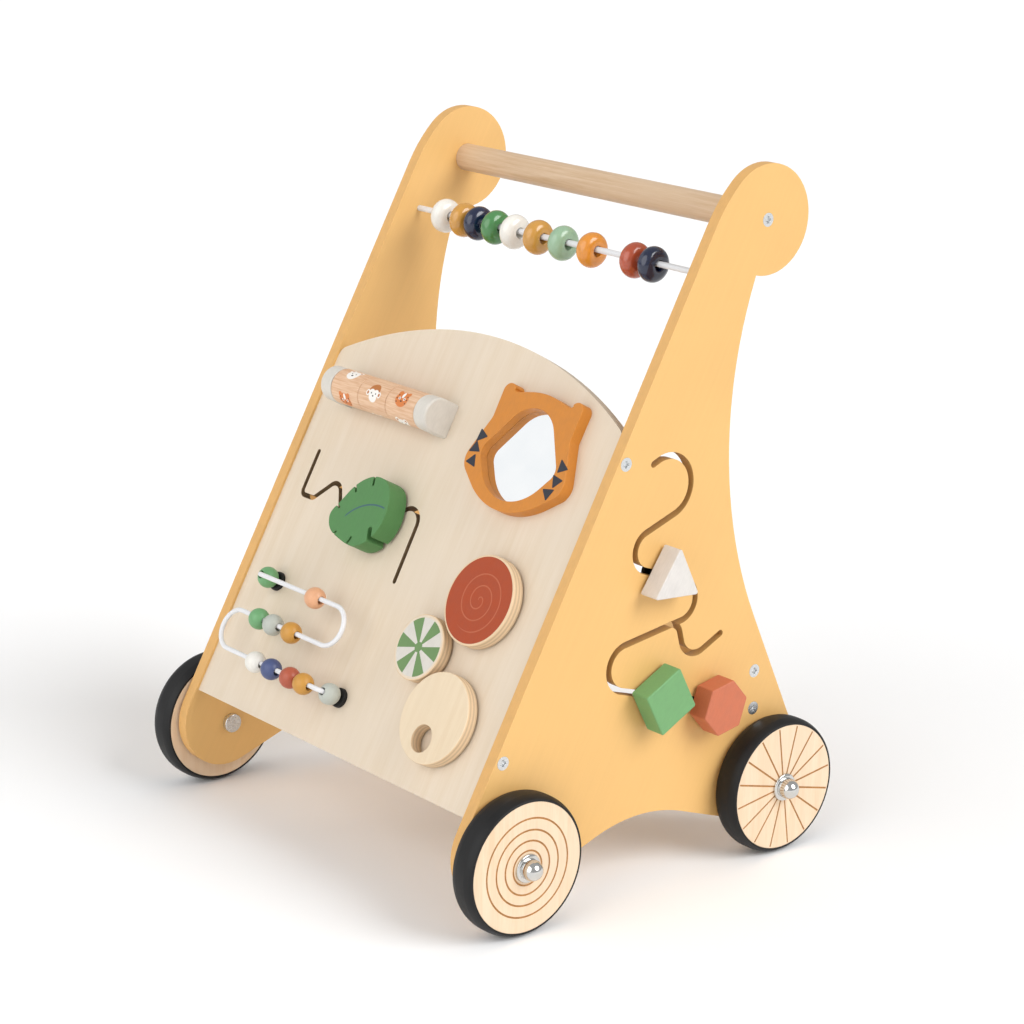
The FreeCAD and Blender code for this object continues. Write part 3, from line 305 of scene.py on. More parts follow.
def metal(name, shade, roughness, scratch):
    """Plated steel: polished chrome where scratch is small, tumbled zinc where it is larger."""
    shade = linear(shade)
    material, tree, shader = blank(name, roughness, Metallic=1.0)
    rubbed = add(tree, "TexNoise", {"Vector": surface_at(tree, (0.5, 3.0, 0.5)), "Scale": 1.0,
                                    "Detail": 4.0})
    ramp = add(tree, "ValToRGB", {0: rubbed.outputs[0]}, stops=((0.3, darker(shade, 0.88)), (0.7, shade)))
    gloss = add(tree, "MapRange", {
        0: rubbed.outputs[0], 1: 0.3, 2: 0.7, 3: roughness, 4: roughness + scratch})
    cover(tree, shader, ramp.outputs[0], gloss.outputs[0], rubbed.outputs[0], 0.3 * scratch, 0.05)
    return material


def powder_coat(name, shade):
    """White powder coat on steel rod: smooth, faintly orange-peeled."""
    shade = linear(shade)
    material, tree, shader = blank(name, 0.3, Specular_IOR_Level=0.5)
    peel = add(tree, "TexNoise", {"Vector": surface_at(tree, (1.0, 1.0, 1.0)), "Scale": 1.0, "Detail": 1.0})
    ramp = add(tree, "ValToRGB", {0: peel.outputs[0]}, stops=((0.3, darker(shade, 0.95)), (0.7, shade)))
    cover(tree, shader, ramp.outputs[0], height=peel.outputs[0], relief=0.04, depth=0.1)
    return material


SPIRAL_PITCH = 8.2
SPIRAL_REACH = 23.0


def spiral_paint(name, shade, centre):
    """Satin paint with a spiral line engraved through it, on the face of the large disc."""
    material, tree, shader = blank(name, 0.5, Specular_IOR_Level=0.4)
    place = add(tree, "SeparateXYZ", {0: surface_at(tree, (1, 1, 1), BOARD_TURN, centre)})
    x, y = place.outputs[0], place.outputs[1]
    flat = add(tree, "CombineXYZ", {0: x, 1: y})
    radius = add(tree, "VectorMath", {0: flat.outputs[0]}, operation="LENGTH").outputs["Value"]
    angle = add(tree, "Math", {0: y, 1: x}, operation="ARCTAN2")
    turns = add(tree, "Math", {0: angle.outputs[0], 1: 1 / (2 * math.pi)}, operation="MULTIPLY")
    rings = add(tree, "Math", {0: radius, 1: 1 / SPIRAL_PITCH, 2: turns.outputs[0]},
                operation="MULTIPLY_ADD")
    part = add(tree, "Math", {0: rings.outputs[0]}, operation="FRACT")
    off = add(tree, "Math", {0: part.outputs[0], 1: 0.5}, operation="SUBTRACT")
    off = add(tree, "Math", {0: off.outputs[0]}, operation="ABSOLUTE")
    line = add(tree, "MapRange", {0: off.outputs[0], 1: 0.03, 2: 0.075, 3: 1.0, 4: 0.0})
    inside = add(tree, "MapRange", {
        0: radius, 1: SPIRAL_REACH - 0.5, 2: SPIRAL_REACH, 3: 1.0, 4: 0.0})
    drawn = add(tree, "Math", {0: line.outputs[0], 1: inside.outputs[0]}, operation="MULTIPLY")
    paint = brushed_in(tree, shader, shade, 0.5, 0.08)
    mixed = add(tree, "Mix", {0: drawn.outputs[0], 6: paint, 7: linear("#b8603f")}, data_type="RGBA")
    level = add(tree, "Math", {0: 1.0, 1: drawn.outputs[0]}, operation="SUBTRACT")
    cover(tree, shader, mixed.outputs[2], height=level.outputs[0], relief=0.35, depth=0.3)
    return material


def printed_wood(name, spots, centre):
    """Bare turned birch with flat printed animal faces. A spot is colour, place along and round the
    drum, half sizes and turn, all in millimetres and degrees."""
    material, tree, shader = blank(name, 0.5, Specular_IOR_Level=0.4)
    grain = add(tree, "TexNoise", {"Vector": surface_at(tree, (14.0, 1.1, 1.1)), "Scale": 1.0,
                                   "Detail": 4.0})
    ramp = add(tree, "ValToRGB", {0: grain.outputs[0]},
               stops=((0.3, linear("#cfa27e")), (0.66, linear("#e2bf9f"))))
    place = add(tree, "SeparateXYZ", {0: surface_at(tree, (1, 1, 1), BOARD_TURN, centre)})
    angle = add(tree, "Math", {0: place.outputs[1], 1: place.outputs[2]}, operation="ARCTAN2")
    around = add(tree, "Math", {0: angle.outputs[0], 1: DRUM_RADIUS}, operation="MULTIPLY")
    flat = add(tree, "CombineXYZ", {0: place.outputs[0], 1: around.outputs[0]}).outputs[0]
    shade = ramp.outputs[0]
    for ink, along, across, wide, tall, turn in spots:
        local = add(tree, "Mapping", {"Vector": flat, "Location": (along, across, 0),
                                      "Rotation": (0, 0, math.radians(turn)), "Scale": (wide, tall, 1)},
                    vector_type="TEXTURE")
        far = add(tree, "VectorMath", {0: local.outputs[0]}, operation="LENGTH")
        inside = add(tree, "MapRange", {0: far.outputs["Value"], 1: 0.97, 2: 1.05, 3: 1.0, 4: 0.0})
        inked = add(tree, "Mix", {0: inside.outputs[0], 6: shade, 7: linear(ink)}, data_type="RGBA")
        shade = inked.outputs[2]
    cover(tree, shader, shade, height=grain.outputs[0], relief=0.08, depth=0.2)
    return material


def veined_paint(name, shade, centre):
    """Satin paint with one dark curved vein drawn on the leaf."""
    material, tree, shader = blank(name, 0.5, Specular_IOR_Level=0.4)
    place = add(tree, "SeparateXYZ", {0: surface_at(tree, (1, 1, 1), BOARD_TURN, centre)})
    hub, bend = (21.5, -29.0, 0.0), 41.0
    flat = add(tree, "CombineXYZ", {0: place.outputs[0], 1: place.outputs[1]})
    away = add(tree, "VectorMath", {0: flat.outputs[0], 1: hub}, operation="SUBTRACT")
    radius = add(tree, "VectorMath", {0: away.outputs[0]}, operation="LENGTH").outputs["Value"]
    off = add(tree, "Math", {0: radius, 1: bend}, operation="SUBTRACT")
    off = add(tree, "Math", {0: off.outputs[0]}, operation="ABSOLUTE")
    line = add(tree, "MapRange", {0: off.outputs[0], 1: 0.45, 2: 0.75, 3: 1.0, 4: 0.0})
    left = add(tree, "MapRange", {0: place.outputs[0], 1: -10.6, 2: -9.4, 3: 0.0, 4: 1.0})
    right = add(tree, "MapRange", {0: place.outputs[0], 1: 26.0, 2: 27.5, 3: 1.0, 4: 0.0})
    both = add(tree, "Math", {0: left.outputs[0], 1: right.outputs[0]}, operation="MULTIPLY")
    low = add(tree, "Math", {0: place.outputs[1], 1: -12.0}, operation="GREATER_THAN")
    both = add(tree, "Math", {0: both.outputs[0], 1: low.outputs[0]}, operation="MULTIPLY")
    drawn = add(tree, "Math", {0: line.outputs[0], 1: both.outputs[0]}, operation="MULTIPLY")
    paint = brushed_in(tree, shader, shade, 0.5, 0.06)
    mixed = add(tree, "Mix", {0: drawn.outputs[0], 6: paint, 7: linear("#3d5f66")}, data_type="RGBA")
    cover(tree, shader, mixed.outputs[2])
    return material


# ------------------------------------------------------------------ shaping
def cad_copy(node):
    """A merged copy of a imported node's mesh with its flat faces joined up."""
    bm = bmesh.new()
    bm.from_mesh(NODES[node].data)
    bmesh.ops.remove_doubles(bm, verts=bm.verts, dist=0.002 * MM)
    bmesh.ops.dissolve_limit(bm, angle_limit=math.radians(0.4), verts=bm.verts, edges=bm.edges)
    return bm


def bevel(bm, geom, radius, segments, affect="EDGES"):
    bmesh.ops.bevel(bm, geom=geom, offset=radius, offset_type="OFFSET", segments=segments, profile=0.5,
                    affect=affect, material=-1, clamp_overlap=affect == "EDGES")


def soften(bm, radius, wanted=None, segments=3, crease=30):
    """Rounds the edges that turn by more than crease degrees."""
    edges = [edge for edge in bm.edges
             if edge.is_manifold and edge.calc_face_angle(0) > math.radians(crease)]
    if wanted:
        edges = [edge for edge in edges if wanted(edge)]
    if edges:
        bevel(bm, edges, radius, segments)
    return bm


def lathe(corners, steps=96):
    """Turns a profile round Z. A corner is height, radius and rounding, in millimetres; the profile
    closes on itself unless it starts and ends on the axis."""
    bm = bmesh.new()
    verts = [bm.verts.new((radius * MM, 0, height * MM)) for height, radius, _ in corners]
    links = list(zip(verts, verts[1:]))
    if corners[0][1] > 0:
        links.append((verts[-1], verts[0]))
    edges = [bm.edges.new(pair) for pair in links]
    bmesh.ops.spin(bm, geom=verts + edges, axis=(0, 0, 1), cent=(0, 0, 0), angle=2 * math.pi, steps=steps,
                   use_merge=True)
    bmesh.ops.remove_doubles(bm, verts=bm.verts, dist=0.001 * MM)
    bmesh.ops.recalc_face_normals(bm, faces=bm.faces)
    for height, radius, rounding in corners:
        if rounding:
            ring = [edge for edge in bm.edges if all(
                abs(v.co.z - height * MM) < 1e-6 and abs(v.co.xy.length - radius * MM) < 1e-6
                for v in edge.verts)]
            bevel(bm, ring, rounding * MM, 4)
    return bm


def islands(faces):
    """Splits faces into groups that are joined edge to edge."""
    left, groups = set(faces), []
    while left:
        stack, group = [left.pop()], []
        while stack:
            face = stack.pop()
            group.append(face)
            for edge in face.edges:
                for other in edge.link_faces:
                    if other in left:
                        left.remove(other)
                        stack.append(other)
        groups.append(group)
    return groups


def sort_faces(bm, normal):
    """Material 0 on the two broad faces, 1 round the outer edge, 2 in the holes and slots."""
    sides = [face for face in bm.faces if abs(face.normal.dot(normal)) < 0.7]
    groups = islands(sides)

    def reach(group):
        points = [v.co for face in group for v in face.verts]
        return max(p.z for p in points) - min(p.z for p in points)

    outer = max(groups, key=reach)
    for group in groups:
        for face in group:
            face.material_index = 1 if group is outer else 2


def axes_at(origin, z):
    """Matrix with its Z along z and its Y as near to upright as can be."""
    z = Vector(z).normalized()
    x = Vector((0, 0, 1)).cross(z).normalized()
    y = z.cross(x)
    turn = Matrix((x, y, z)).transposed().to_4x4()
    turn.translation = Vector(origin)
    return turn


def joint_place(name, flip=False):
    joint = JOINTS[name]
    axis = Vector(joint["axis"])
    return axes_at(joint["pos_m"], -axis if flip else axis)


def middle(node):
    low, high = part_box(node)
    return (low + high) / 2


def make_piece(bm, name, node, materials, replaces=True, sharp=40):
    """Turns a shaped mesh into a finished piece that rides where its node rides."""
    mesh = bpy.data.meshes.new(name)
    bm.to_mesh(mesh)
    bm.free()
    for material in materials:
        mesh.materials.append(material)
    mesh.shade_smooth()
    mesh.set_sharp_from_angle(angle=math.radians(sharp))
    piece = bpy.data.objects.new(name, mesh)
    bpy.context.scene.collection.objects.link(piece)
    weighted = piece.modifiers.new("Flat faces stay flat", "WEIGHTED_NORMAL")
    weighted.keep_sharp = True
    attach(piece, NODES[node]["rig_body"])
    if replaces:
        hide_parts(node)


def placed(bm, matrix):
    bmesh.ops.transform(bm, matrix=matrix, verts=bm.verts)
    return bm


def half_sizes(node):
    """Half the width along X and half the height of a node's box, in millimetres."""
    low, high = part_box(node)
    return (high.x - low.x) / 2 / MM, (high.z - low.z) / 2 / MM


def rod(node, rounding, steps):
    """Plain round rod that lies along X and fills its node's box."""
    half, radius = half_sizes(node)
    bm = lathe([(-half, 0, 0), (-half, radius, rounding), (half, radius, rounding), (half, 0, 0)], steps)
    return placed(bm, axes_at(middle(node), (1, 0, 0)))


# ------------------------------------------------------------------ operators
class Piece:
    """What every operator of this add-on shares."""
    bl_options = {"REGISTER", "UNDO"}

    def execute(self, context):
        self.make(context.scene.walker_colours, context.scene.walker_sizes)
        return {"FINISHED"}


class WALKER_OT_side_panels(Piece, bpy.types.Operator):
    """Side panels of painted birch plywood, with softened edges and a machine-cut track"""
    bl_idname = "walker.side_panels"
    bl_label = "Side Panels"

    def make(self, colours, sizes):
        paint = panel_paint("Honey satin paint on plywood", colours.panel)
        slot = satin_paint("Honey paint in the track", colours.panel_slot, 0.55, 0.1)
        edge = satin_paint("Honey paint on the sawn edge", colours.panel_edge, 0.5, 0.12)
        for node in ("left_side_panel", "right_side_panel"):
            bm = cad_copy(node)
            sort_faces(bm, Vector((1, 0, 0)))
            soften(bm, sizes.edge)
            make_piece(bm, node.replace("_side", "") + "_painted", node, (paint, edge, slot))


class WALKER_OT_activity_board(Piece, bpy.types.Operator):
    """Sloping board of pale plywood with its cut slot"""
    bl_idname = "walker.activity_board"
    bl_label = "Activity Board"

    def make(self, colours, sizes):
        veneer = wood("Pale poplar veneer", colours.board, colours.board_dark, (7.0, 160.0, 7.0), BOARD_TURN,
                      roughness=0.55, contrast=0.9)
        edge = ply_edge("Pale plywood edge", colours.board, 2, turn=BOARD_TURN, depth=0.7)
        slot = scorched("Scorched board slot", colours.board_slot)
        bm = cad_copy("activity_board")
        sort_faces(bm, Vector(JOINTS["large_disc_turn"]["axis"]))
        soften(bm, 0.5 * sizes.edge)
        make_piece(bm, "board_veneered", "activity_board", (veneer, edge, slot))


class WALKER_OT_cross_pieces(Piece, bpy.types.Operator):
    """Turned handle and the plank across the rear"""
    bl_idname = "walker.cross_pieces"
    bl_label = "Handle and Brace"

    def make(self, colours, sizes):
        turned = wood("Turned beech", colours.turned, colours.turned_dark, (70.0, 2.2, 2.2), roughness=0.45,
                      contrast=1.2, relief=0.1)
        make_piece(rod("handle_bar", 0.8, 72), "handle_turned", "handle_bar", (turned,))
        paint = panel_paint("Honey satin paint on the brace", colours.panel)
        make_piece(soften(cad_copy("rear_brace"), sizes.edge), "brace_painted", "rear_brace", (paint,))


class WALKER_OT_fasteners(Piece, bpy.types.Operator):
    """Screws, bolts, washers and pivots"""
    bl_idname = "walker.fasteners"
    bl_label = "Fasteners"

    def make(self, colours, sizes):
        zinc = metal("Bright zinc plate", "#dfe1e2", 0.24, 0.08)
        for node in ("handle_screws", "panel_screws", "wheel_bolts", "wheel_washers", "disc_pivots",
                     "roller_axle"):
            bm = soften(cad_copy(node), sizes.metal_edge, segments=2)
            make_piece(bm, node + "_plated", node, (zinc,))
        nylon = moulded_black("Black nylon", "#1d1d1f")
        for node in ("leaf_pin", "triangle_pin", "square_pin", "hexagon_pin"):
            bm = soften(cad_copy(node), sizes.metal_edge, segments=2)
            make_piece(bm, node + "_moulded", node, (nylon,))


RAIL_COLOURS = ("bead_white", "ochre", "navy", "green", "bead_white", "ochre", "sage", "orange", "rust",
                "navy")
RAIL_BEAD_BORE, RAIL_BEAD_LIP = 3.7, 0.9


class WALKER_OT_bead_rail(Piece, bpy.types.Operator):
    """White rail with ten glossy round-edged beads"""
    bl_idname = "walker.bead_rail"
    bl_label = "Bead Rail"

    def make(self, colours, sizes):
        white = powder_coat("White powder coat", "#dfe0e2")
        make_piece(rod("bead_rail", 0.3, 32), "rail_coated", "bead_rail", (white,))
        enamel = {name: gloss_paint(name.capitalize() + " enamel", getattr(colours, name))
                  for name in sorted(set(RAIL_COLOURS))}
        for number, name in enumerate(RAIL_COLOURS, 1):
            node = "rail_bead_%d" % number
            half, outer = half_sizes(node)
            turns = [math.radians(turn) for turn in range(-90, 91, 9)]
            crown = [(half * math.sin(turn), outer - half + half * math.cos(turn), 0) for turn in turns]
            lips = [(end * half, RAIL_BEAD_BORE, RAIL_BEAD_LIP) for end in (-1, 1)]
            bm = placed(lathe(lips[:1] + crown + lips[1:], 72), axes_at(middle(node), (1, 0, 0)))
            make_piece(bm, node + "_enamelled", node, (enamel[name],))


WHEEL_HALF, WHEEL_RADIUS, WHEEL_BORE = 10.0, 45.0, 3.1
TYRE_PROFILE = ((-WHEEL_HALF, 45.05, 0), (-WHEEL_HALF, 46.3, 0.5), (-6.6, 48.35, 2.5), (0, 49.0, 5.0),
                (6.6, 48.35, 2.5), (WHEEL_HALF, 46.3, 0.5), (WHEEL_HALF, 45.05, 0))
ENGRAVED_RINGS = (34.0, 26.0, 18.6, 11.9)
SPOKES, FIRST_SPOKE = 16, 0.35
SPOKE_INNER, SPOKE_OUTER = 9.0, 44.0
NUT_LENGTH, NUT_FLANGE, NUT_RADIUS = 12.2, 9.9, 7.2


class WALKER_OT_wheels(Piece, bpy.types.Operator):
    """Engraved wooden wheels, rubber tyres and domed nuts"""
    bl_idname = "walker.wheels"
    bl_label = "Wheels"

    def make(self, colours, sizes):
        faces = (wood("Turned wheel birch", colours.wheel, colours.wheel_dark, (6.0, 6.0, 90.0)),
                 scorched("Engraved line", colours.engraving))
        rubber = moulded_black("Moulded tyre rubber")
        for corner in WHEELS:
            place = joint_place(corner + "_wheel_turn", flip="left" in corner)
            bm = self.ringed(sizes) if "front" in corner else self.spoked(sizes)
            make_piece(placed(bm, place), corner + "_wheel_turned", corner + "_wheel", faces)
            bm = placed(lathe(TYRE_PROFILE, 128), place)
            make_piece(bm, corner + "_tyre_moulded", corner + "_tyre", (rubber,))
        self.nuts()

    def ringed(self, sizes):
        """Wheel with four engraved rings on its face."""
        groove, depth, half = sizes.groove / MM / 2, sizes.groove_depth / MM, WHEEL_HALF
        corners = [(-half, WHEEL_BORE, 0), (-half, WHEEL_RADIUS, 0.5), (half, WHEEL_RADIUS, 0.5)]
        for radius in ENGRAVED_RINGS:
            corners += [(half, radius + groove, 0), (half - depth, radius + 0.5 * groove, 0),
                        (half - depth, radius - 0.5 * groove, 0), (half, radius - groove, 0)]
        bm = lathe(corners + [(half, WHEEL_BORE, 0)], 128)
        for face in bm.faces:
            centre = face.calc_center_median()
            sunk = (half - depth) * MM - 1e-6 < centre.z < half * MM - 1e-6
            if sunk and centre.xy.length < ENGRAVED_RINGS[0] * MM + sizes.groove:
                face.material_index = 1
        return bm

    def spoked(self, sizes):
        """Wheel with engraved spokes on its face."""
        half, groove, step = WHEEL_HALF, sizes.groove / 2, 2 * math.pi / SPOKES
        bm = lathe([(-half, WHEEL_BORE, 0), (-half, WHEEL_RADIUS, 0.5), (half, WHEEL_RADIUS, 0.5),
                    (half, SPOKE_OUTER, 0), (half, SPOKE_INNER, 0), (half, WHEEL_BORE, 0)], 128)
        for index in range(SPOKES // 2):
            angle = (index + FIRST_SPOKE) * step
            side = Vector((-math.sin(angle), math.cos(angle), 0))
            for shift in (-groove, groove):
                bmesh.ops.bisect_plane(bm, geom=bm.verts[:] + bm.edges[:] + bm.faces[:],
                                       plane_co=side * shift, plane_no=side, dist=1e-7)
        lines = []
        for face in bm.faces:
            centre = face.calc_center_median()
            radius = centre.xy.length
            if face.normal.z < 0.99 or not SPOKE_INNER * MM < radius < SPOKE_OUTER * MM:
                continue
            turn = (math.atan2(centre.y, centre.x) / step - FIRST_SPOKE) % 1.0
            if min(turn, 1 - turn) * step * radius < groove:
                lines.append(face)
        for face in lines:
            face.material_index = 1
        cut = bmesh.ops.extrude_face_region(bm, geom=lines)
        floor = [item for item in cut["geom"] if isinstance(item, bmesh.types.BMVert)]
        bmesh.ops.delete(bm, geom=lines, context="FACES_ONLY")
        bmesh.ops.translate(bm, verts=floor, vec=(0, 0, -sizes.groove_depth))
        return bm

    def nuts(self):
        """Four domed nuts in one piece."""
        whole = bmesh.new()
        low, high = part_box("wheel_cap_nuts")
        for corner in WHEELS:
            flip = "left" in corner
            origin = Vector(JOINTS[corner + "_wheel_turn"]["pos_m"])
            origin.x = low.x if flip else high.x
            back = -NUT_LENGTH
            skirt = [(back, WHEEL_BORE, 0), (back, NUT_FLANGE, 0), (back + 1.4, NUT_FLANGE, 0.6),
                     (back + 2.0, 8.0, 0.5), (back + 1.9, NUT_RADIUS, 0.4), (-6.9, NUT_RADIUS, 0)]
            bm = lathe(skirt + self.dome(NUT_RADIUS, 16) + [(-9.0, 0, 0)], 64)
            placed(bm, axes_at(origin, (-1 if flip else 1, 0, 0)))
            mesh = bpy.data.meshes.new("one nut")
            bm.to_mesh(mesh)
            bm.free()
            whole.from_mesh(mesh)
            bpy.data.meshes.remove(mesh)
        chrome = metal("Polished chrome", "#d8d8d6", 0.06, 0.05)
        make_piece(whole, "cap_nuts_polished", "wheel_cap_nuts", (chrome,))

    def dome(self, radius, steps):
        """Quarter circle from the side of the nut up to its tip at height 0."""
        turns = [math.radians(90) * i / steps for i in range(1, steps + 1)]
        return [(radius * math.sin(t) - radius, radius * math.cos(t), 0) for t in turns[:-1]] + [(0, 0, 0)]


WIRE_COLOURS = ("peach", "wire_green", "grey", "ochre", "bead_white", "wire_navy", "wire_rust", "ochre",
                "wire_green", "grey")
WIRE_BEAD_RADIUS, WIRE_BEAD_BORE = 7.7 * MM, 2.9 * MM


class WALKER_OT_wire_toy(Piece, bpy.types.Operator):
    """Bent white wire with round beads and rubber feet"""
    bl_idname = "walker.wire_toy"
    bl_label = "Wire and Beads"

    def make(self, colours, sizes):
        white = powder_coat("Powder-coated wire", "#e4e4e6")
        make_piece(cad_copy("wire_loop"), "wire_coated", "wire_loop", (white,), sharp=60)
        rubber = moulded_black("Bumper rubber")
        make_piece(cad_copy("wire_bumpers"), "bumpers_moulded", "wire_bumpers", (rubber,))
        paints = {}
        for name in sorted(set(WIRE_COLOURS)):
            title = name.replace("_", " ").capitalize() + " satin"
            paints[name] = satin_paint(title, getattr(colours, name), 0.36)
        for number, name in enumerate(WIRE_COLOURS, 1):
            node = "wire_bead_%d" % number
            half = math.sqrt(WIRE_BEAD_RADIUS ** 2 - WIRE_BEAD_BORE ** 2)
            bm = bmesh.new()
            bmesh.ops.create_uvsphere(bm, u_segments=48, v_segments=32, radius=WIRE_BEAD_RADIUS)
            for end in (-1, 1):
                bmesh.ops.bisect_plane(bm, geom=bm.verts[:] + bm.edges[:] + bm.faces[:], dist=1e-7,
                                       plane_co=(0, 0, end * half), plane_no=(0, 0, end), clear_outer=True)
            rims = [edge for edge in bm.edges if edge.is_boundary]
            walls = bmesh.ops.bridge_loops(bm, edges=rims)["faces"]
            lips = {edge for face in walls for edge in face.edges
                    if abs(edge.verts[0].co.z - edge.verts[1].co.z) < 1e-6}
            bevel(bm, list(lips), sizes.bead_lip, 3)
            bmesh.ops.recalc_face_normals(bm, faces=bm.faces)
            axis = JOINTS.get(node + "_turn", {"axis": (1, 0, 0)})["axis"]
            make_piece(placed(bm, axes_at(middle(node), axis)), node + "_painted", node, (paints[name],))


STRIPE_SIZE = 6.48
STRIPES = ((-43.4, 45.0, 30), (-45.0, 35.6, 10), (-43.0, 26.4, -10),
           (43.4, 41.2, 150), (43.0, 31.1, 170), (39.6, 21.8, 190))


class WALKER_OT_mirror(Piece, bpy.types.Operator):
    """Painted animal-shaped frame, its stripes and its mirror"""
    bl_idname = "walker.mirror"
    bl_label = "Mirror"

    def make(self, colours, sizes):
        paint = satin_paint("Orange satin on the frame", colours.mirror_frame, 0.45)
        normal = Vector(JOINTS["large_disc_turn"]["axis"])
        bm = cad_copy("mirror_frame")
        front = max(v.co.dot(normal) for v in bm.verts)
        soften(bm, sizes.frame_edge,
               lambda edge: all(v.co.dot(normal) > front - 1e-5 for v in edge.verts), 4)
        make_piece(bm, "mirror_frame_painted", "mirror_frame", (paint,))
        glass, tree, shader = blank("Silvered acrylic", 0.03, Metallic=1.0)
        haze = add(tree, "TexNoise", {"Vector": surface_at(tree, (25, 25, 25)), "Scale": 1.0, "Detail": 2.0})
        tint = add(tree, "ValToRGB", {0: haze.outputs[0]},
                   stops=((0.3, linear("#eef1f3")), (0.7, linear("#f3f5f6"))))
        cover(tree, shader, tint.outputs[0])
        make_piece(cad_copy("mirror_plate"), "mirror_silvered", "mirror_plate", (glass,))
        up = Vector((0, math.cos(SLOPE), math.sin(SLOPE)))
        lowest = min(v.co.dot(up) for v in NODES["mirror_frame"].data.vertices)
        chin = Vector((middle("mirror_frame").x, 0, 0)) + normal * front + up * lowest
        bm = bmesh.new()
        for x, y, turn in STRIPES:
            verts = bmesh.ops.create_circle(bm, segments=3, radius=STRIPE_SIZE * MM, cap_ends=True)["verts"]
            bmesh.ops.scale(bm, verts=verts, vec=(1.0, 0.85, 1))
            bmesh.ops.rotate(bm, verts=verts, cent=(0, 0, 0),
                             matrix=Matrix.Rotation(math.radians(turn), 3, "Z"))
            bmesh.ops.translate(bm, verts=verts, vec=(x * MM, y * MM, 0.01 * MM))
        bevel(bm, bm.verts[:], 1.0 * MM, 3, "VERTICES")
        grown = bmesh.ops.extrude_face_region(bm, geom=bm.faces[:])["geom"]
        bmesh.ops.translate(bm, verts=[v for v in grown if isinstance(v, bmesh.types.BMVert)],
                            vec=(0, 0, 0.12 * MM))
        bmesh.ops.recalc_face_normals(bm, faces=bm.faces)
        ink = satin_paint("Dark stripe ink", colours.stripe, 0.5)
        placed(bm, axes_at(chin, normal))
        make_piece(bm, "mirror_stripes", "mirror_frame", (ink,), replaces=False)


DRUM_RADIUS, PIN_BORE = 12.7, 3.05
WHITE, BLACK, TAN, FOX = "#eeeae4", "#2a2523", "#b5713a", "#d07a3e"


def pair(ink, x, apart, y, wide, tall, turn=0):
    """Two matching spots, one each side of x."""
    return [(ink, x - apart, y, wide, tall, turn), (ink, x + apart, y, wide, tall, -turn)]


def monkey(x, y):
    return ([(TAN, x, y + 2.6, 5.6, 5.2, 0)]
            + pair(WHITE, x, 6.2, y, 1.9, 2.2) + pair(TAN, x, 6.2, y, 1.0, 1.3)
            + pair(WHITE, x, 2.3, y + 0.4, 3.0, 2.9) + [(WHITE, x, y - 2.6, 4.2, 3.6, 0)]
            + pair(BLACK, x, 2.4, y + 0.2, 0.5, 0.6) + [(BLACK, x, y - 1.6, 0.8, 0.55, 0)])


def bear(x, y):
    return (pair(WHITE, x, 4.6, y + 3.8, 2.3, 2.3) + pair(TAN, x, 4.6, y + 3.8, 1.1, 1.1)
            + [(WHITE, x, y, 5.8, 5.0, 0)] + pair(BLACK, x, 2.2, y + 0.7, 0.5, 0.6)
            + [(BLACK, x, y - 1.3, 1.0, 0.75, 0)])


def cat(x, y):
    spots = (pair(FOX, x, 4.4, y + 4.4, 1.9, 2.2, 20)
             + [(FOX, x, y, 6.6, 5.8, 0), (WHITE, x, y + 3.2, 1.3, 2.4, 0)]
             + pair(WHITE, x, 2.6, y + 0.3, 1.1, 1.1) + pair(BLACK, x, 2.6, y + 0.3, 0.5, 0.6)
             + [(BLACK, x, y - 1.6, 0.9, 0.6, 0)])
    for side in (-1, 1):
        for row in range(3):
            spots.append((BLACK, x + side * (5.3 - 0.5 * abs(row - 1)), y + 2.6 * (row - 1), 0.55, 0.5, 0))
    return spots


class WALKER_OT_roller(Piece, bpy.types.Operator):
    """Painted end blocks and three drums printed with animals"""
    bl_idname = "walker.roller"
    bl_label = "Picture Roller"

    def make(self, colours, sizes):
        paint = satin_paint("Off-white satin on blocks", colours.white, 0.5)
        bm = soften(cad_copy("roller_end_blocks"), 0.3 * MM, segments=2, crease=40)
        make_piece(bm, "roller_blocks_painted", "roller_end_blocks", (paint,))
        pictures = {"left": bear(0, 9.5) + cat(0, -12.5) + monkey(0, 33.0),
                    "middle": monkey(1.0, -0.5) + bear(0, -24.0) + cat(0, 27.0),
                    "right": cat(0, 2.0) + bear(0, -18.5) + monkey(0, 28.0)}
        for name, spots in pictures.items():
            node = "roller_drum_" + name
            half, _ = half_sizes(node)
            centre = Vector(JOINTS["roller_" + name + "_turn"]["pos_m"])
            bm = lathe([(-half, PIN_BORE, 0), (-half, DRUM_RADIUS, 0.6), (half, DRUM_RADIUS, 0.6),
                        (half, PIN_BORE, 0)], 96)
            printed = printed_wood("Printed birch, " + name, spots, centre)
            make_piece(placed(bm, axes_at(centre, (1, 0, 0))), node + "_printed", node, (printed,))


DISC_HALF, PIVOT_DEPTH = 4.5, 2.4
LARGE_DISC, LARGE_PAINT = 31.7, 30.3
SMALL_DISC, SMALL_PAINT, SMALL_HUB = 23.2, 20.8, 3.6
PETAL_START_DEG, PETAL_DEG = 15.0, 30.0


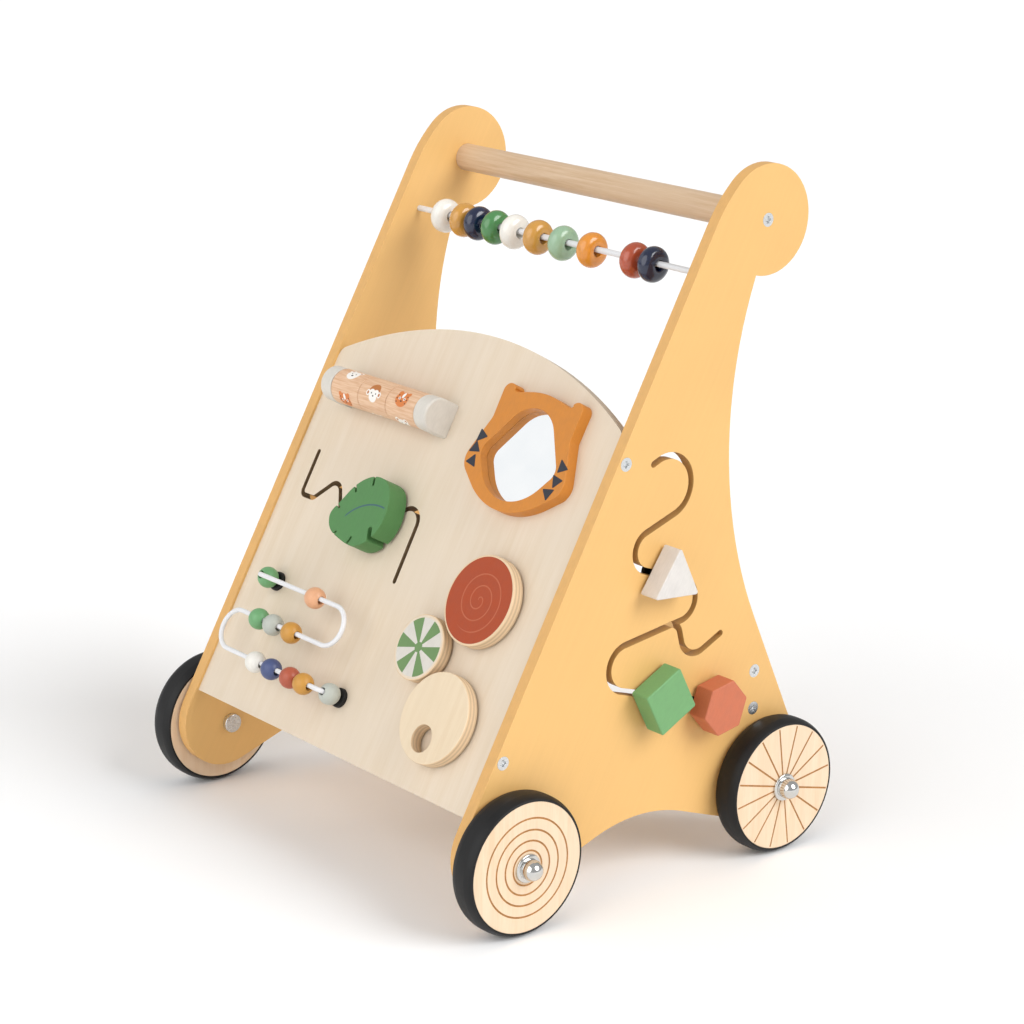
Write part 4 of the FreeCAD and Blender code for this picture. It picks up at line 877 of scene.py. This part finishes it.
class WALKER_OT_discs(Piece, bpy.types.Operator):
    """Three turning discs"""
    bl_idname = "walker.discs"
    bl_label = "Turning Discs"

    def make(self, colours, sizes):
        bare = wood("Sanded birch disc", colours.board, colours.board_dark, (5.0, 70.0, 5.0), BOARD_TURN)
        rim = ply_edge("Disc plywood edge", linear("#e2c7a4"), 2, turn=BOARD_TURN, depth=0.8)
        centre = JOINTS["large_disc_turn"]["pos_m"]
        red = spiral_paint("Engraved brick red", colours.disc_face, centre)
        bm = self.disc(LARGE_DISC, LARGE_PAINT, 0.7)
        self.colour_face(bm, lambda centre: int(centre.xy.length < LARGE_PAINT * MM))
        placed(bm, joint_place("large_disc_turn"))
        make_piece(bm, "large_disc_painted", "large_disc", (rim, red))
        green = satin_paint("Green petals", colours.petal, 0.5)
        white = satin_paint("White petals", colours.white, 0.5)
        bm = self.disc(SMALL_DISC, SMALL_PAINT, 0.8, (SMALL_HUB,))
        self.colour_face(bm, self.petals)
        placed(bm, joint_place("small_disc_turn"))
        make_piece(bm, "small_disc_painted", "small_disc", (rim, green, white, bare))
        bm = cad_copy("finger_disc")
        sort_faces(bm, Vector(JOINTS["finger_disc_turn"]["axis"]))
        for face in bm.faces:
            if face.material_index == 2:
                face.material_index = 1
        sanded = wood("Sanded birch finger disc", colours.disc_wood, colours.disc_wood_dark,
                      (5.0, 70.0, 5.0), BOARD_TURN)
        make_piece(soften(bm, sizes.edge), "finger_disc_sanded", "finger_disc", (sanded, rim))

    def disc(self, radius, paint, rounding, rings=()):
        """Disc with a blind pivot bore and rings where its colours change."""
        half = DISC_HALF
        corners = [(PIVOT_DEPTH, 0, 0), (PIVOT_DEPTH, PIN_BORE, 0), (-half, PIN_BORE, 0),
                   (-half, radius, rounding), (half, radius, rounding), (half, paint, 0)]
        corners += [(half, ring, 0) for ring in rings]
        return lathe(corners + [(half, 0, 0)], 144)

    def colour_face(self, bm, choose):
        for face in bm.faces:
            centre = face.calc_center_median()
            if face.normal.z > 0.99 and centre.z > (DISC_HALF - 0.1) * MM:
                face.material_index = choose(centre)

    def petals(self, centre):
        """Six green and six white petals with a plain rim."""
        if centre.xy.length > SMALL_PAINT * MM:
            return 3
        if centre.xy.length < SMALL_HUB * MM:
            return 1
        turn = (math.degrees(math.atan2(centre.y, centre.x)) + PETAL_START_DEG) % 360
        return 1 + int(turn // PETAL_DEG) % 2


class WALKER_OT_sliding_shapes(Piece, bpy.types.Operator):
    """Leaf on the board and three shapes on the side track"""
    bl_idname = "walker.sliding_shapes"
    bl_label = "Sliding Shapes"

    def make(self, colours, sizes):
        leaf = veined_paint("Leaf green satin", colours.leaf, JOINTS["leaf_turn"]["pos_m"])
        paints = {"leaf": leaf,
                  "triangle": satin_paint("Warm white satin on triangle", colours.triangle, 0.5),
                  "square": satin_paint("Green satin on square", colours.square, 0.5),
                  "hexagon": satin_paint("Terracotta satin on hexagon", colours.hexagon, 0.5)}
        for name, paint in paints.items():
            node = name + "_knob"
            make_piece(soften(cad_copy(node), sizes.knob_edge), node + "_painted", node, (paint,))


CAMERA_PLACE = (1.504338, -1.22224, 0.78756)
CAMERA_AZIMUTH, CAMERA_ELEVATION, CAMERA_ROLL = 50.414, 16.15, 0.687
CAMERA_LENS = 100.56


class WALKER_OT_stage(Piece, bpy.types.Operator):
    """Pale floor, soft studio lights and the camera"""
    bl_idname = "walker.stage"
    bl_label = "Studio"

    def make(self, colours, sizes):
        scene = bpy.context.scene
        scene.view_settings.view_transform = "Standard"
        world = bpy.data.worlds.new("Studio white")
        world.use_nodes = True
        world.node_tree.nodes["Background"].inputs["Color"].default_value = (1, 1, 1, 1)
        world.node_tree.nodes["Background"].inputs["Strength"].default_value = 0.5
        scene.world = world
        bm = bmesh.new()
        bmesh.ops.create_grid(bm, x_segments=1, y_segments=1, size=12.0)
        mesh = bpy.data.meshes.new("studio_floor")
        bm.to_mesh(mesh)
        bm.free()
        floor = bpy.data.objects.new("studio_floor", mesh)
        scene.collection.objects.link(floor)
        paper, _, _ = blank("Seamless paper", 0.9, Specular_IOR_Level=0.1, Base_Color=(0.97, 0.97, 0.97, 1))
        mesh.materials.append(paper)
        self.light("Key from the right", "SUN", (0.72, 0.28, 0.75), 2.1, angle=math.radians(40))
        self.light("Fill from the front", "SUN", (0.05, -0.85, 0.62), 1.35, angle=math.radians(60))
        self.light("Front softbox", "AREA", (-1.75, -1.6, 1.62), 5.5, size=1.8)
        camera = bpy.data.cameras.new("Studio camera")
        camera.lens = CAMERA_LENS
        camera.sensor_width = 36
        camera.clip_start = 0.05
        camera.clip_end = 60
        stand = bpy.data.objects.new("Studio camera", camera)
        stand.matrix_world = self.camera_matrix()
        scene.collection.objects.link(stand)
        scene.camera = stand

    def light(self, name, kind, place, power, **shape):
        lamp = bpy.data.lights.new(name, kind)
        lamp.energy = power
        for setting, value in shape.items():
            setattr(lamp, setting, value)
        stand = bpy.data.objects.new(name, lamp)
        stand.location = place
        stand.rotation_euler = (Vector((0, 0, 0.2)) - Vector(place)).to_track_quat("-Z", "Y").to_euler()
        bpy.context.scene.collection.objects.link(stand)

    def camera_matrix(self):
        azimuth, elevation, roll = (math.radians(v) for v in (CAMERA_AZIMUTH, CAMERA_ELEVATION, CAMERA_ROLL))
        back = Vector((math.sin(azimuth) * math.cos(elevation), -math.cos(azimuth) * math.cos(elevation),
                       math.sin(elevation)))
        right = Vector((math.cos(azimuth), math.sin(azimuth), 0))
        up = back.cross(right)
        level = Matrix((right, up, back)).transposed()
        turned = (level @ Matrix.Rotation(roll, 3, "Z")).to_4x4()
        turned.translation = Vector(CAMERA_PLACE)
        return turned


OPERATORS = (
    WALKER_OT_side_panels, WALKER_OT_activity_board, WALKER_OT_cross_pieces, WALKER_OT_fasteners,
    WALKER_OT_bead_rail, WALKER_OT_wheels, WALKER_OT_wire_toy, WALKER_OT_mirror, WALKER_OT_roller,
    WALKER_OT_discs, WALKER_OT_sliding_shapes, WALKER_OT_stage,
)


class WALKER_PT_panel(bpy.types.Panel):
    """Lists the walker's pieces and settings"""
    bl_idname = "WALKER_PT_panel"
    bl_label = "Baby Walker"
    bl_space_type = "VIEW_3D"
    bl_region_type = "UI"
    bl_category = "Walker"

    def draw(self, context):
        for operator in OPERATORS:
            self.layout.operator(operator.bl_idname)
        for group in (context.scene.walker_colours, context.scene.walker_sizes):
            box = self.layout.box()
            for name in group.__annotations__:
                box.prop(group, name)


CLASSES = (WalkerColours, WalkerSizes) + OPERATORS + (WALKER_PT_panel,)


def register():
    for cls in CLASSES:
        bpy.utils.register_class(cls)
    bpy.types.Scene.walker_colours = bpy.props.PointerProperty(type=WalkerColours)
    bpy.types.Scene.walker_sizes = bpy.props.PointerProperty(type=WalkerSizes)


def unregister():
    del bpy.types.Scene.walker_sizes
    del bpy.types.Scene.walker_colours
    for cls in reversed(CLASSES):
        bpy.utils.unregister_class(cls)


def main():
    register()
    for operator in OPERATORS:
        group, name = operator.bl_idname.split(".")
        getattr(getattr(bpy.ops, group), name)()


if __name__ == "__main__":
    main()
